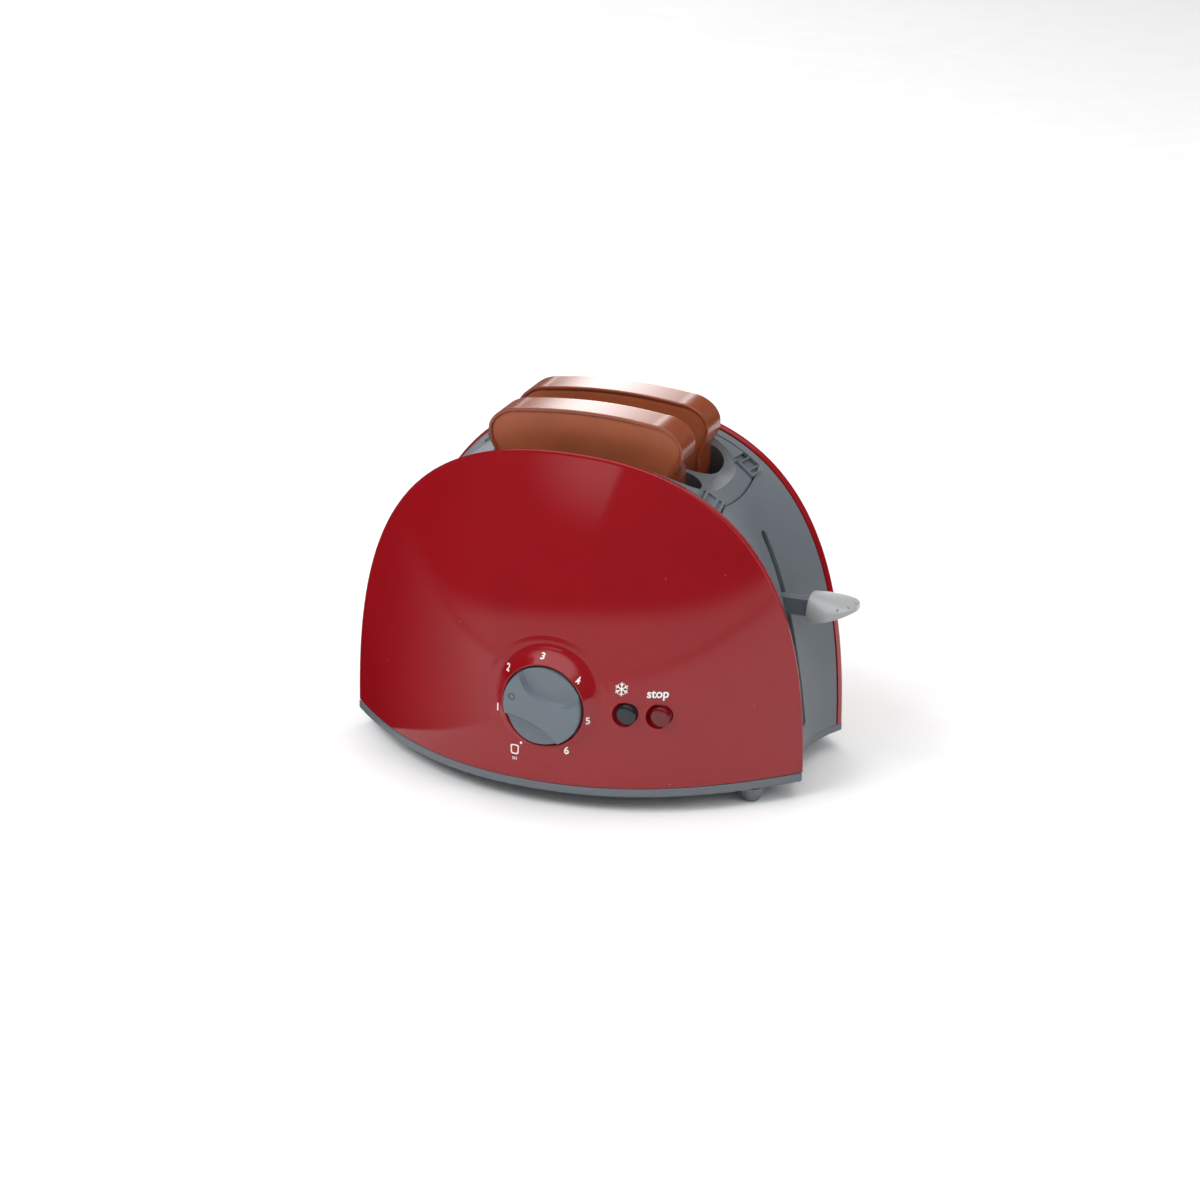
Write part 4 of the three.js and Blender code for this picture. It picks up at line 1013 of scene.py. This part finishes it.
class ToasterToast(bpy.types.Operator):
    """Models the two slices, each with a raised bead round a sunken face"""

    bl_idname = "toaster.toast"
    bl_label = "Toast slices"

    def execute(self, context):
        read_afresh()
        bead, recess = small().toast_bead, small().toast_recess
        outline = toast_outline()
        section = [(bead + 0.0016, recess * 0.8), (bead + 0.0006, recess * 0.8),
                   (bead + 0.0003, recess), (bead, recess), (bead - 0.0002, recess * 0.5),
                   (bead - 0.0004, 0.00006), (bead - 0.0006, 0), (0.0005, 0), (0.0002, 0.00006),
                   (0.00006, 0.0002), (0, 0.0005), (0, 0.001)]
        for part in ("toast_front", "toast_rear"):
            low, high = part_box(part)
            centre = (low.x + high.x) / 2
            levels = [(inward, low.y + down) for inward, down in section]
            levels += [(inward, high.y - down) for inward, down in reversed(section)]
            rings = [[Vector((centre + x, y, z)) for x, z in offset_loop(outline, inward)]
                     for inward, y in levels]
            slice_piece = ringed(f"{part}_slice", rings)
            slice_piece.data.materials.append(finishes()["toast_crust"])
            slice_piece.data.materials.append(finishes()["toast_face"])
            middle = (low.y + high.y) / 2
            deep = (high.y - low.y) / 2 - recess * 0.6
            for face in slice_piece.data.polygons:
                flat = abs(face.normal.y) > 0.9
                if flat and abs(face.center.y - middle) < deep:
                    face.material_index = 1
            dress(slice_piece, part, "toast_brown", [part])
        return {"FINISHED"}


# Dial, buttons and lever

stem_end = 0.041
pointer_place = (-0.012, 0.0029)

# Each finger scoop's place across and up from the dial's centre, its radius and its flat floor's
dial_scoops = [(0.0055, 0.0156, 0.0151, 0.0016), (-0.0175, -0.039, 0.0348, 0.027)]


def scoop(x, z, radius, flat_radius):
    """A dished cutter for the dial's face: deep at its rim and shallow in its middle."""
    face = small().dial_face
    run = 0.0016
    floor_radius = max(min(radius - run - 0.0045, flat_radius), run)
    profile = [(0, face + 0.003), (radius, face + 0.003), (radius, face),
               (radius - run * 0.35, face - 0.0012), (radius - run, face - 0.0022),
               (radius - run * 1.6, face - 0.0024), (radius - run * 2.2, face - 0.0022),
               (floor_radius, face - 0.001), (0, face - 0.001)]
    dial_x, dial_z = dial_centre()
    return turned("scoop", profile, at(dial_x + x, 0, dial_z + z), forward, 192)


class ToasterDial(bpy.types.Operator):
    """Models the dial with its two finger scoops and its ring pointer"""

    bl_idname = "toaster.dial"
    bl_label = "Dial"

    def execute(self, context):
        read_afresh()
        radius, face = small().dial_radius, small().dial_face
        dial_x, dial_z = dial_centre()
        back, edge = shell().well_floor + 0.0003, 0.0007
        profile = [(0, stem_end), (0.003, stem_end), (0.003, back), (radius, back)]
        profile += [(radius - edge * (1 - cosine), face - edge * (1 - sine)) for cosine, sine in arc(5)]
        profile.append((0, face))
        dial = turned("dial_turned", profile, at(dial_x, 0, dial_z), forward, 128)
        for hollow in dial_scoops:
            cut(dial, scoop(*hollow))
        soften(dial, 0.00028, 3, math.radians(28),
               lambda p: -(p.y - middle_y) > face - 0.003
               and math.hypot(p.x - middle_x - dial_x, p.z - dial_z) < radius - 0.0004)
        pointer = at(dial_x + pointer_place[0], 0, dial_z + pointer_place[1])
        cut(dial, rod("ring", 0.0015, face + 0.001, face - 0.00035, pointer, forward, 48))
        dot = [(0, face - 0.0008), (0.0009, face - 0.0008), (0.0009, face - 0.0001),
               (0.0007, face), (0, face)]
        join(dial, turned("dot", dot, pointer, forward, 48))
        dress(dial, "dial", "dial_grey", ["dial"], finishes()["grey_dial"])
        return {"FINISHED"}


class ToasterButtons(bpy.types.Operator):
    """Models the two domed push buttons on their stems"""

    bl_idname = "toaster.buttons"
    bl_label = "Push buttons"

    def execute(self, context):
        read_afresh()
        radius, crown = small().button_radius, small().button_crown
        looks = {"defrost_button": ("button_black", "black_gloss"),
                 "stop_button": ("button_red", "red_clear")}
        for part, (x, z, face) in button_places().items():
            back = face - 0.009
            profile = [(0, stem_end), (0.0016, stem_end), (0.0016, back - 0.0012),
                       (0.0054, back - 0.0012), (0.0054, back), (radius, back),
                       (radius, face - crown - 0.0001)]
            profile += [(radius * cosine ** 0.8, face - crown * (1 - sine))
                        for cosine, sine in arc(9)[:-1]]
            profile.append((0, face))
            piece = turned(f"{part}_moulded", profile, at(x, 0, z), forward, 64)
            slot, look = looks[part]
            dress(piece, part, slot, [part], finishes()[look])
        return {"FINISHED"}


knob_end = 0.985
grip_angles = (-66, -34, 0, 34, 66)
grip_reach = (0.0084, 0.0092)


def knob_section(along):
    """Half width and heights of the lever's knob, along from its root at 0 to its tip at 1."""
    widest = 0.52
    widening = math.sin(math.pi / 2 * min(along / widest, 1))
    half_wide = (knob_high.y - knob_low.y) / 2
    grown = half_wide * (0.709 + 0.291 * widening)
    nose = max(0, (along - 0.4) / 0.6)
    half = grown * math.sqrt(max(0, 1 - nose ** 2.4))
    low = knob_low.z + 0.0062 * along ** 1.2
    high = knob_high.z - 0.0026 * along ** 1.6
    return half, low, high, low + min(0.0016, (high - low) * 0.6)


def knob_top(along, y):
    half, _, high, lip = knob_section(along)
    return lip + (high - lip) * max(0, 1 - (abs(y) / half) ** 2.5) ** 0.4


class ToasterLever(bpy.types.Operator):
    """Models the lever's rounded knob with its row of grip marks"""

    bl_idname = "toaster.lever"
    bl_label = "Lever"

    def execute(self, context):
        read_afresh()
        centre_y = (knob_low.y + knob_high.y) / 2
        span = (knob_high.x - knob_low.x) / knob_end
        rings = []
        for _, sine in arc(40):
            along = knob_end * sine
            half, low, high, lip = knob_section(along)
            ring = []
            for c, s in full_turn(72):
                if s >= 0:
                    y, z = math.copysign(abs(c) ** 0.8, c), lip + (high - lip) * s ** 0.8
                else:
                    y, z = math.copysign(abs(c) ** 0.7, c), lip - (lip - low) * (-s) ** 0.55
                ring.append(Vector((knob_low.x + span * along, centre_y + half * y, z)))
            rings.append(ring)
        knob = ringed("lever_knob_moulded", rings)
        soften(knob, 0.0005, 3, math.radians(50), lambda p: p.x < knob_low.x + 0.0002)
        arm_half, arm_low, arm_high, arm_end = 0.0019, 0.06555, 0.07365, 0.09
        cut(knob, block("arm", Vector((knob_low.x - 0.001, middle_y - arm_half, arm_low)),
                        Vector((arm_end, middle_y + arm_half, arm_high))))
        grip_across = Vector((0.0007, 0.0003, 0))
        for turn_by in map(math.radians, grip_angles):
            x = knob_low.x + span / 2 + grip_reach[0] * math.cos(turn_by)
            y = grip_reach[1] * math.sin(turn_by)
            z = knob_top((x - knob_low.x) / span, y)
            mark = block("mark", upward * -0.00035 - grip_across, upward * 0.002 + grip_across)
            place = Matrix.Translation((x, centre_y + y, z)) @ Matrix.Rotation(turn_by, 4, "Z")
            cut(knob, place_by(mark, place))
        dress(knob, "lift", "lever_silver", ["lever_knob"], finishes()["silver_satin"])
        return {"FINISHED"}


# Printed marks on the front

number_places = {"1": (-0.0152, 0.0271), "2": (-0.0114, 0.0437), "3": (0.003, 0.0507),
                 "4": (0.018, 0.0434), "5": (0.0222, 0.0274), "6": (0.0139, 0.0141)}


def front_slope(x, z):
    """How the front's distance grows to the right and upwards."""
    step = 0.0002
    right = (front_reach(x + step, z) - front_reach(x - step, z)) / (2 * step)
    up = (front_reach(x, z + step) - front_reach(x, z - step)) / (2 * step)
    return right, up


def lay_on_front(piece, x, z):
    """Lays a flat mark, drawn in its own plane, onto the front with its own size kept."""
    slope_right, slope_up = front_slope(x, z)
    narrow_right = 1 / math.hypot(1, slope_right)
    narrow_up = 1 / math.hypot(1, slope_up)
    for vertex in piece.data.vertices:
        mark_x, mark_z = x + vertex.co.x * narrow_right, z + vertex.co.y * narrow_up
        mark_y = -front_reach(mark_x, mark_z) - 0.00006 - vertex.co.z
        vertex.co = at(mark_x, mark_y, mark_z)
    return seal(piece)


def word(text, size, x, z):
    """A printed word or number."""
    clear_selection()
    bpy.ops.object.text_add()
    piece = bpy.context.object
    piece.data.body = text
    piece.data.size = size
    piece.data.align_x = "CENTER"
    piece.data.align_y = "CENTER"
    piece.data.extrude = small().ink / 2
    piece.data.offset = size * 0.022
    bpy.ops.object.convert(target="MESH")
    piece.name = f"print_{text}"
    return lay_on_front(piece, x, z)


def stroke(start, end, width):
    """A straight printed line in the mark's own plane."""
    run = Vector(end) - Vector(start)
    ink = small().ink / 2
    bar = block("stroke", Vector((-run.length / 2, -width / 2, -ink)),
                Vector((run.length / 2, width / 2, ink)))
    middle = (Vector(start) + Vector(end)) / 2
    place = Matrix.Translation((middle.x, middle.y, 0))
    return place_by(bar, place @ Matrix.Rotation(math.atan2(run.y, run.x), 4, "Z"))


def snowflake(x, z):
    reach, width = 0.0027, 0.00042
    bars = []
    for direction in full_turn(6):
        along = Vector(direction).orthogonal()
        root = along * reach * 0.55
        bars.append(stroke((0, 0), along * reach, width))
        for turn_by in (-0.9, 0.9):
            branch = Matrix.Rotation(turn_by, 2) @ along
            bars.append(stroke(root, root + branch * reach * 0.4, width * 0.8))
    piece = join(*bars)
    piece.name = "print_snowflake"
    return lay_on_front(piece, x, z)


def slice_mark(x, z):
    """A small bread slice in outline with a dot beside it and warmth under it."""
    steps, ink = 40, small().ink / 2
    loop = [(x_out * (1.12 if z_out > 0.3 ** 0.5 * 0.002 else 1), z_out)
            for x_out, z_out in rounded_loop(0.0017, 0.002, steps, 0.5)]
    inner = [(a * 0.72, b * 0.76) for a, b in loop]
    rings = [loop, loop, inner, inner, loop]
    heights = [-ink, ink, ink, -ink, -ink]
    outline = sheet("outline", steps, 4, lambda i, k: Vector((*rings[k][i % steps], heights[k])))
    seal(outline)
    pieces = [outline]
    pieces.append(rod("dot", 0.0005, -ink, ink, Vector((0.0026, 0.0031, 0)), upward, 24))
    for shift in (-0.0007, 0, 0.0007):
        pieces.append(stroke((shift, -0.0043), (shift, -0.0031), 0.0003))
    piece = join(*pieces)
    piece.name = "print_slice"
    return lay_on_front(piece, x, z)


class ToasterMarks(bpy.types.Operator):
    """Prints the dial's numbers and the plain marks over the buttons onto the front"""

    bl_idname = "toaster.marks"
    bl_label = "Printed marks"

    def execute(self, context):
        read_afresh()
        marks = [word(text, small().numeral, x, shell_bottom + z)
                 for text, (x, z) in number_places.items()]
        marks.append(word("stop", 0.0048, 0.0466, shell_bottom + 0.0384))
        marks.append(snowflake(0.0335, shell_bottom + 0.0401))
        marks.append(slice_mark(-0.0073, shell_bottom + 0.0115))
        for mark in marks:
            dress(mark, "base", "shell_red", [], finishes()["printed_white"])
        return {"FINISHED"}


# What the frame shows itself

class ToasterInside(bpy.types.Operator):
    """Gives the pieces that stay as the frame has them their finish"""

    bl_idname = "toaster.inside"
    bl_label = "Carriage, springs and screws"

    def execute(self, context):
        read_afresh()
        looks = {"control_bracket": "dark_moulded", "dial_retainer": "dark_moulded"}
        for part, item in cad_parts.items():
            is_metal = part.startswith(("guide_rod", "lift_spring", "screw")) \
                or part in ("defrost_spring", "stop_spring")
            look = "bright_steel" if is_metal else looks.get(part, "grey_moulded")
            item.data.materials.clear()
            item.data.materials.append(finishes()[look])
        return {"FINISHED"}


# Studio

camera_place = Vector((0.40970, -1.08871, 0.51972))
camera_aim = Vector((-0.006187, 0.00070, 0.05879))
lamp_aim = Vector((0, 0, 0.06))

# Each card's place, the place it faces, its size and how softly its four edges fade
cards = {
    "dark_left": ((-0.286, 0.26, 0.344), (0.214, 0.26, 0.614), (0.9, 0.82), (-0.18, 0.35, -0.02, 0.35)),
    "dark_right": ((0.37, 0.44, 0.15), (0.08, 0, 0.15), (0.55, 0.3), (-0.2, 0.2, -0.02, 0.4)),
    "window": ((-0.53, -1.24, 1.02), (-0.004, -0.05, 0.107), (0.9, 0.5), (-0.05, 0.7, -0.7, 0.2)),
    "back": ((-1.9, 2.5, 0.95), (-0.4, 0, 0.14), (3.8, 1.6), (-0.3, 0.4, -0.2, 0.3)),
}


def soft_light(name, place, size, power):
    data = bpy.data.lights.new(name, "AREA")
    data.shape = "RECTANGLE"
    data.size, data.size_y = size
    data.energy = power
    lamp = bpy.data.objects.new(name, data)
    bpy.context.scene.collection.objects.link(lamp)
    lamp.location = place
    lamp.rotation_euler = (lamp_aim - lamp.location).to_track_quat("-Z", "Y").to_euler()
    lamp.visible_glossy = False


def room():
    """Even room light, and for reflections a low bright band, dark walls and a pale ceiling."""
    world = bpy.data.worlds.new("room")
    world.use_nodes = True
    tree = world.node_tree
    place = node(tree, "TexCoord", {}).outputs["Generated"]
    split = node(tree, "SeparateXYZ", {"Vector": place}).outputs
    square = reckon(tree, "MULTIPLY", split["X"], split["X"])
    height = reckon(tree, "MULTIPLY_ADD", square, 0.24, split["Z"])

    def sky(*stops):
        return ramp(tree, height, [(position, (level,) * 3) for position, level in stops])

    light = sky((0, 0.35), (0.75, 1))
    mirrored = sky((0, 1.4), (0.17, 1.4), (0.225, 0.15), (0.75, 0.15), (0.88, 3))
    seen = node(tree, "LightPath", {}).outputs["Is Glossy Ray"]
    feed(tree, tree.nodes["Background"], {"Strength": bpy.context.scene.toaster_studio.sky,
                                          "Color": mixed(tree, seen, light, mirrored)})
    bpy.context.scene.world = world


def soft_card(name, place, aim, size, level, softness):
    """A card that only reflections see, black or glowing. Each edge fades over its own share,
    given for the low and high ends of the card's own X and Y, with a minus for a low end."""
    clear_selection()
    bpy.ops.mesh.primitive_plane_add(size=1, location=place)
    card = added(name)
    card.scale = (*size, 1)
    card.rotation_euler = (Vector(aim) - Vector(place)).to_track_quat("Z", "Y").to_euler()
    material = bpy.data.materials.new(name)
    material.use_nodes = True
    tree = material.node_tree
    tree.nodes.remove(tree.nodes["Principled BSDF"])
    inside = node(tree, "TexCoord", {}).outputs["Object"]
    split = node(tree, "SeparateXYZ", {"Vector": inside}).outputs
    mask = 1
    for side, soft in zip("XXYY", softness):
        edge = math.copysign(0.5, soft)
        fade = node(tree, "MapRange", {"Value": split[side], "From Min": edge,
                                       "From Max": edge - soft}, interpolation_type="SMOOTHSTEP")
        mask = reckon(tree, "MULTIPLY", mask, fade.outputs["Result"])
    clear = node(tree, "BsdfTransparent", {}).outputs["BSDF"]
    glow = node(tree, "Emission", {"Strength": level}).outputs["Emission"]
    mix = node(tree, "MixShader", {"Fac": mask, 1: clear, 2: glow})
    feed(tree, tree.nodes["Material Output"], {"Surface": mix.outputs["Shader"]})
    card.data.materials.append(material)
    card.visible_camera = card.visible_diffuse = card.visible_shadow = False


class ToasterStage(bpy.types.Operator):
    """Sets the pale floor, the soft lights and the camera"""

    bl_idname = "toaster.stage"
    bl_label = "Studio"

    def execute(self, context):
        read_afresh()
        studio = context.scene.toaster_studio
        clear_selection()
        bpy.ops.mesh.primitive_plane_add(size=14, location=(0, 0, 0))
        floor = added("floor")
        floor.data.materials.append(
            plastic("floor_paper", colours().floor, 0.7, mottle=0.01, bump=0.0, specular=0.2))
        room()
        levels = {"window": studio.window, "back": studio.back}
        for name, (place, aim, size, softness) in cards.items():
            soft_card(name, place, aim, size, levels.get(name, 0), softness)
        soft_light("key", (-1.1, -1.2, 1.9), (1.5, 1.2), studio.key)
        soft_light("side", (1.9, -0.3, 1.1), (0.9, 0.9), studio.side)
        soft_light("top", (0.1, 0.5, 1.8), (1.6, 1.0), studio.key * 0.35)
        data = bpy.data.cameras.new("camera")
        data.lens = studio.lens
        data.sensor_width = 36
        data.clip_start, data.clip_end = 0.05, 40
        camera = bpy.data.objects.new("camera", data)
        context.scene.collection.objects.link(camera)
        toward = (camera_aim - camera_place).to_track_quat("-Z", "Y").to_matrix().to_4x4()
        roll = Matrix.Rotation(studio.roll, 4, "Z")
        camera.matrix_world = Matrix.Translation(camera_place) @ toward @ roll
        context.scene.camera = camera
        context.scene.view_settings.view_transform = "Standard"
        return {"FINISHED"}


class ToasterPanel(bpy.types.Panel):
    bl_idname = "VIEW3D_PT_toaster"
    bl_label = "Toy toaster"
    bl_space_type = "VIEW_3D"
    bl_region_type = "UI"
    bl_category = "Toaster"

    def draw(self, context):
        for group in groups:
            sizes = getattr(context.scene, group)
            for name in sizes.bl_rna.properties.keys():
                if name not in ("rna_type", "name"):
                    self.layout.prop(sizes, name)
        for step in steps_in_order:
            self.layout.operator(step.bl_idname)


groups = {
    "toaster_shell": ToasterShellSizes,
    "toaster_body": ToasterBodySizes,
    "toaster_small": ToasterSmallSizes,
    "toaster_colours": ToasterColours,
    "toaster_studio": ToasterStudio,
}
steps_in_order = [ToasterStage, ToasterInside, ToasterShells, ToasterHousing, ToasterCover,
                  ToasterBase, ToasterToast, ToasterDial, ToasterButtons, ToasterLever,
                  ToasterMarks]


def register():
    for name, group in groups.items():
        bpy.utils.register_class(group)
        setattr(bpy.types.Scene, name, bpy.props.PointerProperty(type=group))
    for step in steps_in_order:
        bpy.utils.register_class(step)
    bpy.utils.register_class(ToasterPanel)


def unregister():
    bpy.utils.unregister_class(ToasterPanel)
    for step in reversed(steps_in_order):
        bpy.utils.unregister_class(step)
    for name, group in groups.items():
        delattr(bpy.types.Scene, name)
        bpy.utils.unregister_class(group)


def main():
    register()
    bpy.ops.toaster.stage()
    bpy.ops.toaster.inside()
    bpy.ops.toaster.shells()
    bpy.ops.toaster.housing()
    bpy.ops.toaster.cover()
    bpy.ops.toaster.base()
    bpy.ops.toaster.toast()
    bpy.ops.toaster.dial()
    bpy.ops.toaster.buttons()
    bpy.ops.toaster.lever()
    bpy.ops.toaster.marks()


if __name__ == "__main__":
    main()
